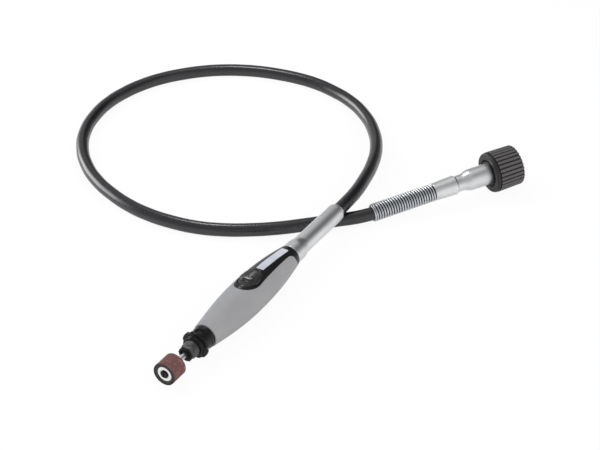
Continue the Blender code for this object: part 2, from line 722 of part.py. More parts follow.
def make_collet(frame):
    bore = SHANK_RADIUS + RUN_GAP
    lip = 0.0005
    chamfer = 0.0006
    head_rear = SPINDLE_FRONT + GAP
    profile = [(COLLET_FRONT, COLLET_HEAD_RADIUS - chamfer), (head_rear + lip, COLLET_HEAD_RADIUS),
               (head_rear, COLLET_HEAD_RADIUS), (head_rear, COLLET_RADIUS), (COLLET_REAR, COLLET_RADIUS),
               (COLLET_REAR, bore), (COLLET_FRONT, bore)]
    collet = turned("collet", profile, frame, STEEL, ROUND)
    half = SLIT_WIDTH / 2.0
    wide = 2.0 * COLLET_HEAD_RADIUS
    for name, x, y in (("collet_slit_up", half, wide), ("collet_slit_across", wide, half)):
        boolean(collet, box(name, (-x, -y, SLIT_REAR), (x, y, 2.0 * COLLET_FRONT), frame))
    smooth(collet)

    thread = THREAD_RADIUS + RUN_GAP
    seat = COLLET_HEAD_RADIUS + RUN_GAP
    nut_profile = [
        (NUT_FRONT, NUT_RADIUS - chamfer), (NUT_FRONT - chamfer, NUT_RADIUS),
        (NUT_REAR + chamfer, NUT_RADIUS), (NUT_REAR, NUT_RADIUS - chamfer), (NUT_REAR, thread),
        (SPINDLE_FRONT + GAP, thread),
        (SPINDLE_FRONT + lip, seat + GAP), (NUT_FRONT, seat - 2.0 * GAP),
    ]
    nut = turned("collet_nut", nut_profile, frame, DARK_STEEL, FINE)
    for i in range(6):
        turn = TURN * i / 6.0
        flat = box(f"nut_flat_{i}", (NUT_FLATS / 2.0, -NUT_RADIUS, NUT_FRONT - NUT_FLAT_LENGTH),
                   (2.0 * NUT_RADIUS, NUT_RADIUS, 2.0 * NUT_FRONT), frame)
        flat.rotation_euler = (0.0, 0.0, turn)
        boolean(nut, flat)
    smooth(nut)


def make_drum(frame):
    """Mandrel, expanding rubber drum, abrasive band, and the washer and screw that squeeze the rubber."""
    front = DRUM_REAR + DRUM_LENGTH
    disc_rear = DRUM_REAR - DISC_THICKNESS - GAP
    spigot_front = front - DRUM_SEAT_DEPTH - 2.0 * GAP
    hole = SCREW_RADIUS + GAP
    hole_end = front - SCREW_LENGTH - 2.0 * GAP
    outside = [(spigot_front, SPIGOT_RADIUS), (disc_rear + DISC_THICKNESS, SPIGOT_RADIUS),
               (disc_rear + DISC_THICKNESS, DISC_RADIUS), (disc_rear, DISC_RADIUS),
               (disc_rear, SHANK_RADIUS), (-SHANK_REAR, SHANK_RADIUS), (-SHANK_REAR, 0.0)]
    inside = [(hole_end, 0.0), (hole_end, hole), (spigot_front, hole)]
    smooth(open_turned("mandrel", outside, inside, frame, STEEL, ROUND))

    rubber = BAND_RADIUS - BAND_WALL - GAP
    seat = DRUM_SEAT_RADIUS
    edge = 0.0004
    profile = [(front, rubber - edge), (front - edge, rubber), (DRUM_REAR + edge, rubber),
               (DRUM_REAR, rubber - edge), (DRUM_REAR, SPIGOT_RADIUS + GAP),
               (front - DRUM_SEAT_DEPTH, SPIGOT_RADIUS + GAP), (front - DRUM_SEAT_DEPTH, seat), (front, seat)]
    smooth(turned("rubber_drum", profile, frame, BLACK_RUBBER, MEDIUM))
    inner = BAND_RADIUS - BAND_WALL
    smooth(ring("sanding_band", front, DRUM_REAR, inner, BAND_RADIUS, frame, RED_BAND, MEDIUM))

    washer_rear = front - DRUM_SEAT_DEPTH + GAP
    head = SCREW_HEAD_RADIUS
    washer_front = front + GAP
    smooth(turned("drum_washer", [
        (washer_front, head + 2.0 * GAP), (washer_front, seat - 2.0 * GAP), (washer_front - GAP, seat - GAP),
        (washer_rear, seat - GAP), (washer_rear, hole), (washer_rear + GAP, hole),
        (washer_rear + GAP, head + GAP)], frame, PALE_WASHER, MEDIUM))
    head_rear = washer_rear + 2.0 * GAP
    cap = turned("drum_screw", [
        (head_rear + SCREW_HEAD_HEIGHT, 0.0), (head_rear + SCREW_HEAD_HEIGHT, head - GAP),
        (head_rear + SCREW_HEAD_HEIGHT - GAP, head), (head_rear, head), (head_rear, SCREW_RADIUS),
        (front - SCREW_LENGTH, SCREW_RADIUS), (front - SCREW_LENGTH, 0.0)], frame, DARK_STEEL, ROUND)
    slot = box("screw_slot", (-head * 2.0, -GAP, head_rear + SCREW_HEAD_HEIGHT / 2.0),
               (head * 2.0, GAP, 2.0 * front), frame)
    smooth(boolean(cap, slot))


def make_ferrule(frame):
    bore = SHEATH_RADIUS + GAP
    base = -BODY_LENGTH - GAP
    flare = []
    steps = 4
    for i in range(steps + 1):
        share = i / steps
        ease = (1.0 - share) ** 2
        radius = FERRULE_RADIUS + (FERRULE_BASE_RADIUS - FERRULE_RADIUS) * ease
        flare.append((-FERRULE_COLLAR_END - (FERRULE_FLARE_END - FERRULE_COLLAR_END) * share, radius))
    crimp = 0.0014
    profile = [(-FERRULE_FRONT, BEARING_RADIUS), (base, BEARING_RADIUS), (base, FERRULE_BASE_RADIUS)] + flare
    profile += [(-FERRULE_REAR + crimp, FERRULE_RADIUS),
                (-FERRULE_REAR + crimp * 0.3, FERRULE_RADIUS - crimp * 0.15),
                (-FERRULE_REAR, FERRULE_RADIUS - crimp * 0.4), (-FERRULE_REAR, bore), (-FERRULE_STOP, bore),
                (-FERRULE_STOP, CORE_PASSAGE), (-FERRULE_FRONT, CORE_PASSAGE)]
    smooth(turned("handpiece_ferrule", profile, frame, ZINC, MEDIUM))


def make_core_tip(frame):
    """The core's squared end and its collar, which turn with the spindle."""
    half = TIP_WIDTH / 2.0
    collar_front = -SPINDLE_REAR - GAP
    collar_rear = collar_front - TIP_COLLAR_LENGTH
    tip = rod("core_tip", collar_front, collar_rear, TIP_COLLAR_RADIUS, frame, STEEL, ROUND)
    square = box("tip_square", (-half, -half, collar_front - TIP_COLLAR_LENGTH / 2.0),
                 (half, half, -SPINDLE_REAR + TIP_LENGTH), frame)
    smooth(boolean(tip, square, "UNION"))


# ---- cable ----

def rest_height(profile, slope):
    """Height of an axis, sloping up along its stations, at which the profile just meets the ground."""
    return max(radius * math.cos(slope) - station * math.sin(slope) for station, radius in profile)


def smooth_run(knots):
    """Points on a smooth curve through the knots, whose first and last only set its end directions."""
    knots = [Vector(knot) for knot in knots]
    slopes = []
    for before, here, after in zip(knots, knots[1:], knots[2:]):
        back, ahead = here - before, after - here
        slopes.append((back / back.length ** 2 + ahead / ahead.length ** 2).normalized())
    run = []
    for i in range(len(slopes) - 1):
        start, end = knots[i + 1], knots[i + 2]
        reach = (end - start).length / 3.0
        piece = interpolate_bezier(start, start + slopes[i] * reach, end - slopes[i + 1] * reach, end, 12)
        run += piece if not run else piece[1:]
    return run


def evenly(run, spacing):
    """The same line with a point at every spacing, ends kept."""
    lengths = [0.0]
    for a, b in zip(run, run[1:]):
        lengths.append(lengths[-1] + (b - a).length)
    count = max(2, round(lengths[-1] / spacing))
    points = []
    segment = 0
    for i in range(count + 1):
        wanted = lengths[-1] * i / count
        while segment < len(run) - 2 and lengths[segment + 1] < wanted:
            segment += 1
        span = lengths[segment + 1] - lengths[segment]
        points.append(run[segment].lerp(run[segment + 1], (wanted - lengths[segment]) / span))
    return points


def cable_points(handpiece, coupling):
    """The sheath's centre line, straight in both ferrules and smooth between them."""
    def on(frame, station):
        return frame.matrix_world @ Vector((0.0, 0.0, station))
    lead = 2.0 * SHEATH_RADIUS
    ferrule_exit = on(handpiece, -FERRULE_REAR - lead)
    mouth = on(coupling, -lead / 2.0)
    free = [Vector((x, y, SHEATH_RADIUS + lift)) for x, y, lift in CABLE_RUN]
    knots = [on(handpiece, -FERRULE_REAR), ferrule_exit] + free + [mouth, on(coupling, 0.0)]
    run = evenly(smooth_run(knots), CABLE_STEP)
    head = [on(handpiece, -FERRULE_STOP - GAP), on(handpiece, -(FERRULE_STOP + FERRULE_REAR) / 2.0),
            on(handpiece, -FERRULE_REAR)]
    tail = [on(coupling, GUARD_LENGTH / 2.0), on(coupling, COUPLING_STOP - GAP)]
    return head + run + tail


def tube(name, points, radius, rounding, looks, caps):
    curve = bpy.data.curves.new(name, "CURVE")
    curve.dimensions = "3D"
    curve.bevel_depth = radius
    curve.bevel_resolution = rounding
    curve.use_fill_caps = caps
    spline = curve.splines.new("POLY")
    spline.points.add(len(points) - 1)
    for point, place in zip(spline.points, points):
        point.co = (*place, 1.0)
    return add(name, curve, None, looks)


def hollow_tube(name, points, radius, wall, rounding, looks):
    pipe = mesh_from(tube(name, points, radius, rounding, None, False), looks)
    shell = pipe.modifiers.new("Wall", "SOLIDIFY")
    shell.thickness = wall
    shell.offset = -1.0
    shell.use_even_offset = True
    return pipe


def make_cable(handpiece, coupling):
    points = cable_points(handpiece, coupling)
    smooth(hollow_tube("sheath", points, SHEATH_RADIUS, SHEATH_WALL, 2, BLACK_RUBBER))
    smooth(hollow_tube("casing_liner", points, LINER_RADIUS, LINER_WALL, 1, ZINC))
    collar_rear = -SPINDLE_REAR - 2.0 * GAP - TIP_COLLAR_LENGTH
    start = handpiece.matrix_world @ Vector((0.0, 0.0, collar_rear))
    end = coupling.matrix_world @ Vector((0.0, 0.0, CAVITY_REAR + RUN_GAP))
    tube("drive_core", [start] + points + [end], CORE_RADIUS, 1, STEEL, True)


# ---- motor coupling ----

def make_coupling_ferrule(frame):
    bore = SHEATH_RADIUS + GAP
    rear = GUARD_LENGTH + GAP
    edge = 0.0006
    groove_front = COUPLING_NUT_REAR + RECESS_DEPTH - 2.0 * GAP
    groove_rear = groove_front - RING_THICKNESS - GAP
    groove = BARREL_RADIUS - RING_GROOVE
    seat_rear = SEAT_STATION - SEAT_THICKNESS
    profile = [
        (SEAT_STATION, SEAT_RADIUS), (seat_rear, SEAT_RADIUS), (seat_rear, BARREL_RADIUS),
        (groove_front, BARREL_RADIUS), (groove_front, groove), (groove_rear, groove),
        (groove_rear, BARREL_RADIUS), (CONE_END + edge, BARREL_RADIUS),
        (CONE_END - edge, BARREL_RADIUS - edge / 2.0),
        (CONE_START + edge, TUBE_NECK_RADIUS + edge / 2.0), (CONE_START - edge, TUBE_NECK_RADIUS),
        (TUBE_END + edge * 1.5, TUBE_NECK_RADIUS), (TUBE_END, TUBE_RADIUS - edge / 3.0),
        (TUBE_END - edge, TUBE_RADIUS), (rear + edge / 2.0, TUBE_MOUTH_RADIUS),
        (rear, TUBE_MOUTH_RADIUS - edge / 2.0),
        (rear, bore), (COUPLING_STOP, bore), (COUPLING_STOP, CORE_PASSAGE), (CAVITY_REAR, CORE_PASSAGE),
        (CAVITY_REAR, CAVITY_RADIUS), (SEAT_STATION, CAVITY_RADIUS),
    ]
    smooth(turned("coupling_ferrule", profile, frame, ZINC, MEDIUM))
    ring("core_bush", BUSH_FRONT, BUSH_REAR, DRIVER_RADIUS + RUN_GAP, CAVITY_RADIUS - GAP, frame, BRONZE)
    ring("nut_ring", groove_front - GAP / 2.0, groove_rear + GAP / 2.0, groove + GAP, RING_RADIUS, frame,
         DARK_STEEL, MEDIUM)
    helix("guard_spring", 0.0, GUARD_LENGTH, SHEATH_RADIUS + GAP + GUARD_WIRE / 2.0, GUARD_WIRE, GUARD_TURNS,
          10, frame, CHROME)


def make_driver(frame):
    collar_rear = BUSH_FRONT + RUN_GAP
    collar_front = collar_rear + DRIVER_COLLAR
    rear = CAVITY_REAR + 2.0 * RUN_GAP
    shaft = turned("driver_shaft", [
        (SEAT_STATION + GAP, 0.0), (SEAT_STATION + GAP, DRIVER_RADIUS), (collar_front, DRIVER_RADIUS),
        (collar_front, DRIVER_COLLAR_RADIUS), (collar_rear, DRIVER_COLLAR_RADIUS),
        (collar_rear, DRIVER_RADIUS), (rear, DRIVER_RADIUS), (rear, 0.0)], frame, STEEL, ROUND)
    half = DRIVER_SQUARE / 2.0
    square = box("driver_square", (-half, -half, collar_front), (half, half, DRIVER_FRONT), frame)
    smooth(boolean(shaft, square, "UNION"))


def coupling_nut_profile():
    """Outside of the nut from its mouth to its rear lip, with the shoulder a quarter round."""
    edge = 0.0006
    rib_rear = COUPLING_NUT_REAR + SHOULDER_LENGTH + SHOULDER_GROOVE
    points = [(COUPLING_NUT_FRONT, COUPLING_NUT_MOUTH_RADIUS - edge),
              (COUPLING_NUT_FRONT - edge, COUPLING_NUT_MOUTH_RADIUS), (rib_rear, COUPLING_NUT_RADIUS),
              (rib_rear, COUPLING_NUT_RADIUS - edge),
              (rib_rear - SHOULDER_GROOVE, COUPLING_NUT_RADIUS - edge)]
    steps = 4
    for i in range(steps + 1):
        turn = math.pi / 2.0 * i / steps
        station = COUPLING_NUT_REAR + SHOULDER_LENGTH * (1.0 - math.sin(turn))
        drop = (COUPLING_NUT_RADIUS - SHOULDER_LIP_RADIUS) * (1.0 - math.cos(turn))
        points.append((station, COUPLING_NUT_RADIUS - drop))
    return points


def make_coupling_nut(frame):
    web_front = SEAT_STATION - SEAT_THICKNESS - RUN_GAP
    web_rear = COUPLING_NUT_REAR + RECESS_DEPTH
    hole = BARREL_RADIUS + RUN_GAP
    inside = [(COUPLING_NUT_REAR, RECESS_RADIUS), (web_rear, RECESS_RADIUS - RUN_GAP), (web_rear, hole),
              (web_front, hole), (web_front, COUPLING_NUT_BORE), (COUPLING_NUT_FRONT, COUPLING_NUT_BORE)]
    nut = turned("coupling_nut", coupling_nut_profile() + inside, frame, BLACK_PLASTIC, RIB_COUNT)
    flute = bpy.data.meshes.new("nut_flutes")
    shape = bmesh.new()
    rear = COUPLING_NUT_REAR + SHOULDER_LENGTH + SHOULDER_GROOVE
    front = COUPLING_NUT_FRONT + FLUTE_RADIUS
    for i in range(RIB_COUNT):
        turn = TURN * (i + 0.5) / RIB_COUNT
        away = COUPLING_NUT_RADIUS + FLUTE_RADIUS - FLUTE_DEPTH
        place = Matrix.Rotation(turn, 4, "Z") @ Matrix.Translation((away, 0.0, (front + rear) / 2.0))
        bmesh.ops.create_cone(shape, cap_ends=True, segments=6, radius1=FLUTE_RADIUS, radius2=FLUTE_RADIUS,
                              depth=front - rear, matrix=place)
    shape.to_mesh(flute)
    shape.free()
    boolean(nut, as_cutter(add("nut_flutes", flute, frame, None)))
    return smooth(nut)


# ---- assembly ----

def build():
    droop = math.radians(HANDPIECE_DROOP)
    body = [(z, body_radius(z)) for z in body_stations(0.0, -BODY_LENGTH, GRIP_STEPS)]
    height = rest_height(body, -droop)
    forward = (math.cos(droop), 0.0, -math.sin(droop))
    handpiece = empty("handpiece", (*HANDPIECE_PLACE, height), forward)
    yaw, rise = math.radians(COUPLING_YAW), math.radians(COUPLING_RISE)
    outward = (math.cos(yaw) * math.cos(rise), math.sin(yaw) * math.cos(rise), math.sin(rise))
    coupling = empty("coupling", (*COUPLING_PLACE, rest_height(coupling_nut_profile(), rise)), outward)

    make_shell(handpiece)
    make_grip(handpiece)
    make_nose(handpiece)
    make_label(handpiece)
    make_bearing("front", front_bearing_front(), handpiece)
    make_bearing("rear", REAR_BEARING_FRONT, handpiece)
    retainer_front = -rear_bearing_rear() - GAP
    ring("bearing_retainer", retainer_front, retainer_front - CLIP_THICKNESS, race_outer_shoulder(),
         BEARING_RADIUS + RUN_GAP + CLIP_BITE, handpiece, DARK_STEEL, ROUND)
    make_spindle(handpiece)
    make_lock(handpiece)
    make_collet(handpiece)
    make_drum(handpiece)
    make_ferrule(handpiece)
    make_core_tip(handpiece)
    make_coupling_ferrule(coupling)
    make_driver(coupling)
    make_coupling_nut(coupling)
    bpy.context.view_layer.update()
    make_cable(handpiece, coupling)


clear_scene()
PARTS = collection("rotary_tool_flex_shaft")
CUTTERS = collection("cutters")

BLACK_PLASTIC = material("black_plastic", (0.018, 0.018, 0.02), 0.35)
BLACK_GLOSS = material("black_gloss", (0.012, 0.012, 0.013), 0.18)
BLACK_RUBBER = material("black_rubber", (0.02, 0.02, 0.022), 0.55)
GREY_SOFT = material("grey_soft_touch", (0.36, 0.36, 0.38), 0.62)
ZINC = material("zinc_plate", (0.62, 0.64, 0.66), 0.30, 1.0)
CHROME = material("bright_steel", (0.75, 0.77, 0.80), 0.15, 1.0)
STEEL = material("ground_steel", (0.50, 0.51, 0.53), 0.30, 1.0)
DARK_STEEL = material("dark_steel", (0.12, 0.12, 0.125), 0.40, 0.9)
BRONZE = material("bronze", (0.45, 0.30, 0.14), 0.35, 1.0)
FELT = material("felt", (0.20, 0.19, 0.17), 0.95)
RED_BAND = material("abrasive_band", (0.19, 0.075, 0.07), 0.9)
PALE_WASHER = material("pale_washer", (0.72, 0.73, 0.72), 0.35, 0.2)
PALE_LABEL = material("pale_label", (0.80, 0.81, 0.83), 0.30)

build()
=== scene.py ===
import json
from math import acos, asin, ceil, cos, exp, hypot, pi, radians, sin, sqrt
from types import SimpleNamespace

import bmesh
import bpy
from mathutils import Matrix, Vector
from mathutils.geometry import delaunay_2d_cdt


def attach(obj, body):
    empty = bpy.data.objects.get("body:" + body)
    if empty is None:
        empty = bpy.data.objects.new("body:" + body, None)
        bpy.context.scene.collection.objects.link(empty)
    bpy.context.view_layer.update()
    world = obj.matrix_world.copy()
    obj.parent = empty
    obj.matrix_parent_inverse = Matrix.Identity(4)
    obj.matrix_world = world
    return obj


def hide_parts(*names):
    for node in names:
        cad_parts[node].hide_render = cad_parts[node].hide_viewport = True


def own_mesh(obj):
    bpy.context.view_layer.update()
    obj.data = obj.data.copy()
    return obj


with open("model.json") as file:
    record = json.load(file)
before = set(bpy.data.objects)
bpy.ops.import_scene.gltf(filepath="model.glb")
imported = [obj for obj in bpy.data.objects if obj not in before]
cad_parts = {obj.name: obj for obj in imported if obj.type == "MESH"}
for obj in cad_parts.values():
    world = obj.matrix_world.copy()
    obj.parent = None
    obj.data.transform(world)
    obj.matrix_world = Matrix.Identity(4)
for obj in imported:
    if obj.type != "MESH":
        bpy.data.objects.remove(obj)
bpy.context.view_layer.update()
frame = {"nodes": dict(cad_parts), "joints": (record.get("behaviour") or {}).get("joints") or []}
scene = bpy.context.scene
mm = 0.001
print("frame loaded,", len(frame["nodes"]), "nodes")


def named(values):
    return SimpleNamespace(**values)


def settings(lengths, **others):  # lengths are given in mm
    return named({name: length * mm for name, length in lengths.items()} | others)


# camera

cameraSettings = named({
    "place": (0.6934, 0.3847, 0.5480),
    "heading": (-0.8534, -0.5212),  # over the ground
    "pitch": 33.0,  # degrees below level
    "lens": 101.2,
})


def makeCamera(s):
    pitch = radians(s.pitch)
    heading = Vector((*s.heading, 0.0)).normalized() * cos(pitch)
    direction = heading - Vector((0.0, 0.0, sin(pitch)))
    data = bpy.data.cameras.new("camera")
    data.lens = s.lens
    data.clip_start = 0.01
    camera = bpy.data.objects.new("camera", data)
    camera.location = s.place
    camera.rotation_euler = direction.to_track_quat("-Z", "Y").to_euler()
    scene.collection.objects.link(camera)
    scene.camera = camera


makeCamera(cameraSettings)


# where the two rigid ends lie: local Z runs along the tool, local X points up

def findJoint(name):
    return next(joint for joint in frame["joints"] if joint["name"] == name)


def toolFrame(origin, along, up):
    zAxis = Vector(along).normalized()
    xAxis = (Vector(up) - zAxis * zAxis.dot(Vector(up))).normalized()
    turned = Matrix((xAxis, zAxis.cross(xAxis), zAxis)).transposed().to_4x4()
    return Matrix.Translation(origin) @ turned


nutRear = 80.8 * mm  # the coupling nut's rear face, from the guard spring's first coil
spin = findJoint("spindle_spin")
handFrame = toolFrame(spin["pos_m"], spin["axis"], -Vector(findJoint("lock_press")["axis"]))
nutSpin = findJoint("coupling_nut_spin")
springStart = Vector(nutSpin["pos_m"]) - Vector(nutSpin["axis"]) * nutRear
couplingFrame = toolFrame(springStart, nutSpin["axis"], (0, 0, 1))


# shader maths: a wrapped socket, on which an expression adds its Math nodes

class Signal:
    def __init__(self, tree, socket):
        self.tree = tree
        self.socket = socket

    def maths(self, operation, *others, swapped=False, clamp=False):
        node = self.tree.nodes.new("ShaderNodeMath")
        node.operation = operation
        node.use_clamp = clamp
        values = [*others, self] if swapped else [self, *others]
        for socket, value in zip(node.inputs, values):
            plug(self.tree, socket, value)
        return Signal(self.tree, node.outputs[0])

    def __add__(self, other):
        return self.maths("ADD", other)

    def __sub__(self, other):
        return self.maths("SUBTRACT", other)

    def __rsub__(self, other):
        return self.maths("SUBTRACT", other, swapped=True)

    def __mul__(self, other):
        return self.maths("MULTIPLY", other)

    def __truediv__(self, other):
        return self.maths("DIVIDE", other)

    def __pow__(self, other):
        return self.maths("POWER", other)

    __radd__ = __add__
    __rmul__ = __mul__

    def clipped(self):
        return self.maths("ADD", 0.0, clamp=True)

    def ramp(self, low, high):  # 0 at low, 1 at high
        return ((self - low) / (high - low)).clipped()


def plug(tree, socket, value):
    if isinstance(value, Signal):
        tree.links.new(value.socket, socket)
    elif isinstance(value, (tuple, list)) and socket.type == "RGBA":
        socket.default_value = (*value[:3], 1.0)
    else:
        socket.default_value = value


class Finish:
    def __init__(self, name, color, roughness, metallic=0.0, **fixed):
        self.material = bpy.data.materials.new(name)
        self.material.use_nodes = True
        self.tree = self.material.node_tree
        self.shader = self.tree.nodes["Principled BSDF"]
        self.color = color
        self.set(Base_Color=color, Roughness=roughness, Metallic=metallic, **fixed)
        self.place = self.node("ShaderNodeTexCoord", out="Object")
        self.height = None

    def set(self, **values):
        for name, value in values.items():
            plug(self.tree, self.shader.inputs[name.replace("_", " ")], value)

    def node(self, kind, out=0, **values):
        node = self.tree.nodes.new(kind)
        for name, value in values.items():
            plug(self.tree, node.inputs[name.replace("_", " ")], value)
        return Signal(self.tree, node.outputs[out])

    def stretched(self, scale):
        return self.node("ShaderNodeMapping", Vector=self.place, Scale=scale)

    def noise(self, scale, detail=3.0, place=None, rough=0.5):
        place = place or self.place
        return self.node("ShaderNodeTexNoise", Vector=place, Scale=scale, Detail=detail, Roughness=rough)

    def cells(self, scale):
        return self.node("ShaderNodeTexVoronoi", out="Distance", Vector=self.place, Scale=scale)

    def parts(self):
        node = self.tree.nodes.new("ShaderNodeSeparateXYZ")
        plug(self.tree, node.inputs[0], self.place)
        return [Signal(self.tree, output) for output in node.outputs]

    def tint(self, factor, low, high):
        node = self.tree.nodes.new("ShaderNodeMix")
        node.data_type = "RGBA"
        inputs = [socket for socket in node.inputs if socket.type == "RGBA"]
        plug(self.tree, node.inputs[0], factor)
        plug(self.tree, inputs[0], low)
        plug(self.tree, inputs[1], high)
        return Signal(self.tree, next(o for o in node.outputs if o.type == "RGBA"))

    def bump(self, height, depth, strength=1.0):  # depth for a height of 1
        values = {"Height": height, "Strength": strength, "Distance": depth}
        if self.height:
            values["Normal"] = self.height
        self.height = self.node("ShaderNodeBump", **values)
        self.set(Normal=self.height)
        return self


# mesh helpers

def addPiece(name, data, looks, body, node, where=handFrame):  # in place of a node of the model
    piece = bpy.data.objects.new(name, data)
    scene.collection.objects.link(piece)
    piece.matrix_world = where
    data.materials.append(looks)
    if node:
        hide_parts(node)
    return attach(piece, body)


def eased(profile, steps=4):  # (station, radius, fillet in mm) corners to a line with rounded ones
    points = []
    for i, (station, radius, fillet) in enumerate(profile):
        here = Vector((station, radius))
        before = Vector(profile[i - 1][:2]) - here
        after = Vector(profile[(i + 1) % len(profile)][:2]) - here
        reach = min(fillet * mm, 0.45 * before.length, 0.45 * after.length)
        if reach <= 0.0:
            points.append((station, radius))
            continue
        start = here + before.normalized() * reach
        end = here + after.normalized() * reach
        for k in range(steps + 1):
            t = k / steps
            points.append(tuple(start * (1 - t) ** 2 + here * 2 * t * (1 - t) + end * t * t))
    return points


def smoothStep(value, low, high):
    t = max(0.0, min(1.0, (value - low) / (high - low)))
    return t * t * (3 - 2 * t)


def divided(points, step):  # no stretch of the line longer than step
    fine = []
    for a, b in zip(points, points[1:]):
        count = max(1, ceil((Vector(b) - Vector(a)).length / step))
        fine += [tuple(Vector(a).lerp(Vector(b), k / count)) for k in range(count)]
    return fine + [points[-1]]


def fromShape(name, shape, sharpness=40.0):
    bmesh.ops.recalc_face_normals(shape, faces=shape.faces)
    mesh = bpy.data.meshes.new(name)
    shape.to_mesh(mesh)
    shape.free()
    mesh.shade_smooth()
    mesh.set_sharp_from_angle(angle=radians(sharpness))
    return mesh


def turnedMesh(name, points, sides=96, form=None, sharpness=40.0):
    shape = bmesh.new()
    rings = []
    for station, radius in points:
        if radius < 1e-7:
            rings.append([shape.verts.new((0.0, 0.0, station))])
            continue
        ring = []
        for i in range(sides):
            angle = 2 * pi * i / sides
            r = form(station, radius, angle) if form else radius
            ring.append(shape.verts.new((r * cos(angle), r * sin(angle), station)))
        rings.append(ring)
    pairs = list(zip(rings, rings[1:]))
    if len(rings[0]) > 1:
        pairs.append((rings[-1], rings[0]))
    for a, b in pairs:
        for i in range(sides):
            j = i + 1
            corners = [a[i % len(a)], a[j % len(a)], b[j % len(b)], b[i % len(b)]]
            corners = list(dict.fromkeys(corners))
            if len(corners) > 2:
                shape.faces.new(corners)
    return fromShape(name, shape, sharpness)


def newCurve(name, radius, resolution, kind, count):
    curve = bpy.data.curves.new(name, "CURVE")
    curve.dimensions = "3D"
    curve.bevel_depth = radius
    curve.bevel_resolution = resolution
    curve.use_fill_caps = True
    spline = curve.splines.new(kind)
    (spline.bezier_points if kind == "BEZIER" else spline.points).add(count - 1)
    return curve, spline


def turnedPiece(name, points, sides, looks, body, node, slot, form=None, step=None, where=handFrame, **sharp):
    if step:
        points = divided(points, step * mm)
    mesh = turnedMesh(name, points, sides, form, **sharp)
    finished(addPiece(name, mesh, looks, body, node, where))


def finished(piece, thickness=None, edge=None, segments=3):  # wall, rounded edges, shading
    if thickness:
        wall = piece.modifiers.new("Wall", "SOLIDIFY")
        wall.thickness = thickness
        wall.offset = -1.0
        wall.use_even_offset = True
    if edge:
        bevel = piece.modifiers.new("Edge", "BEVEL")
        bevel.width = edge
        bevel.segments = segments
        bevel.limit_method = "ANGLE"
        bevel.angle_limit = radians(50)
        bevel.use_clamp_overlap = False
    shading = piece.modifiers.new("Shading", "WEIGHTED_NORMAL")
    shading.keep_sharp = True


def cutOut(piece, name, shape):  # the hole is made part of the mesh
    cutter = bpy.data.objects.new(name, fromShape(name, shape))
    cutter.matrix_world = handFrame
    scene.collection.objects.link(cutter)
    cut = piece.modifiers.new(name, "BOOLEAN")
    cut.object = cutter
    cut.solver = "EXACT"
    bpy.context.view_layer.update()
    graph = bpy.context.evaluated_depsgraph_get()
    mesh = bpy.data.meshes.new_from_object(piece.evaluated_get(graph))
    piece.modifiers.clear()
    piece.data = mesh
    bpy.data.objects.remove(cutter)


# finishes

def plasticFinish(name, color, roughness, grain, depth, wear=0.12, **fixed):
    f = Finish(name, color, roughness, **fixed)
    cloud = f.noise(60.0, 2.0)
    speckle = f.noise(grain, 4.0)
    f.set(Roughness=roughness - wear / 2 + wear * cloud + 0.06 * speckle)
    lighter = tuple(c * 1.35 + 0.003 for c in color)
    f.set(Base_Color=f.tint(cloud.ramp(0.35, 0.7) * 0.6, color, lighter))
    return f.bump(speckle, depth)


def rubberFinish(name, color, roughness, **fixed):
    f = plasticFinish(name, color, roughness, 1400.0, 0.004 * mm, 0.06, **fixed)
    dust = f.noise(260.0, 4.0).ramp(0.50, 0.80)
    f.set(Roughness=roughness + 0.08 * dust)
    return f


def softTouchFinish(name, s):
    f = Finish(name, s.color, s.roughness, Specular_IOR_Level=0.35)
    f.set(Sheen_Weight=0.15, Sheen_Roughness=0.4)
    cloud = f.noise(45.0, 2.0)
    grain = f.noise(s.grain, 5.0, rough=0.6)
    pores = f.cells(s.pores)
    rubbed = f.noise(130.0, 4.0).ramp(0.55, 0.75)
    f.set(Base_Color=f.tint(cloud.ramp(0.3, 0.7), s.color, s.second))
    f.set(Roughness=s.roughness + 0.08 * grain - 0.06 * rubbed)
    f.bump(pores, 0.015 * mm, 0.5)
    return f.bump(grain, 0.02 * mm, 0.6)


def zincFinish(name, color, roughness, drawn=True):
    f = Finish(name, color, roughness, 1.0)
    cloud = f.noise(90.0, 4.0)
    lines = f.noise(1.0, 4.0, f.stretched((1500.0, 1500.0, 45.0)))  # fine lines along the tube
    spots = f.noise(700.0, 3.0).ramp(0.60, 0.72)
    darker = tuple(c * 0.80 for c in color)
    f.set(Base_Color=f.tint(cloud.ramp(0.35, 0.65) * 0.5 + spots * 0.2, color, darker))
    f.set(Roughness=roughness - 0.05 + 0.12 * cloud + 0.08 * spots + (0.06 * lines if drawn else 0.0))
    f.bump(cloud, 0.05 * mm, 0.35)
    return f.bump(lines, 0.006 * mm, 0.5 if drawn else 0.1)


def steelFinish(name, color, roughness, around=True):
    f = Finish(name, color, roughness, 1.0)
    scale = (90.0, 90.0, 3500.0) if around else (2500.0, 2500.0, 60.0)
    lines = f.noise(1.0, 3.0, f.stretched(scale))  # turning marks
    smear = f.noise(300.0, 3.0)
    darker = tuple(c * 0.75 for c in color)
    f.set(Base_Color=f.tint(smear.ramp(0.4, 0.7) * 0.5, color, darker))
    f.set(Roughness=roughness + 0.10 * lines + 0.06 * smear)
    return f.bump(lines, 0.004 * mm, 0.5)


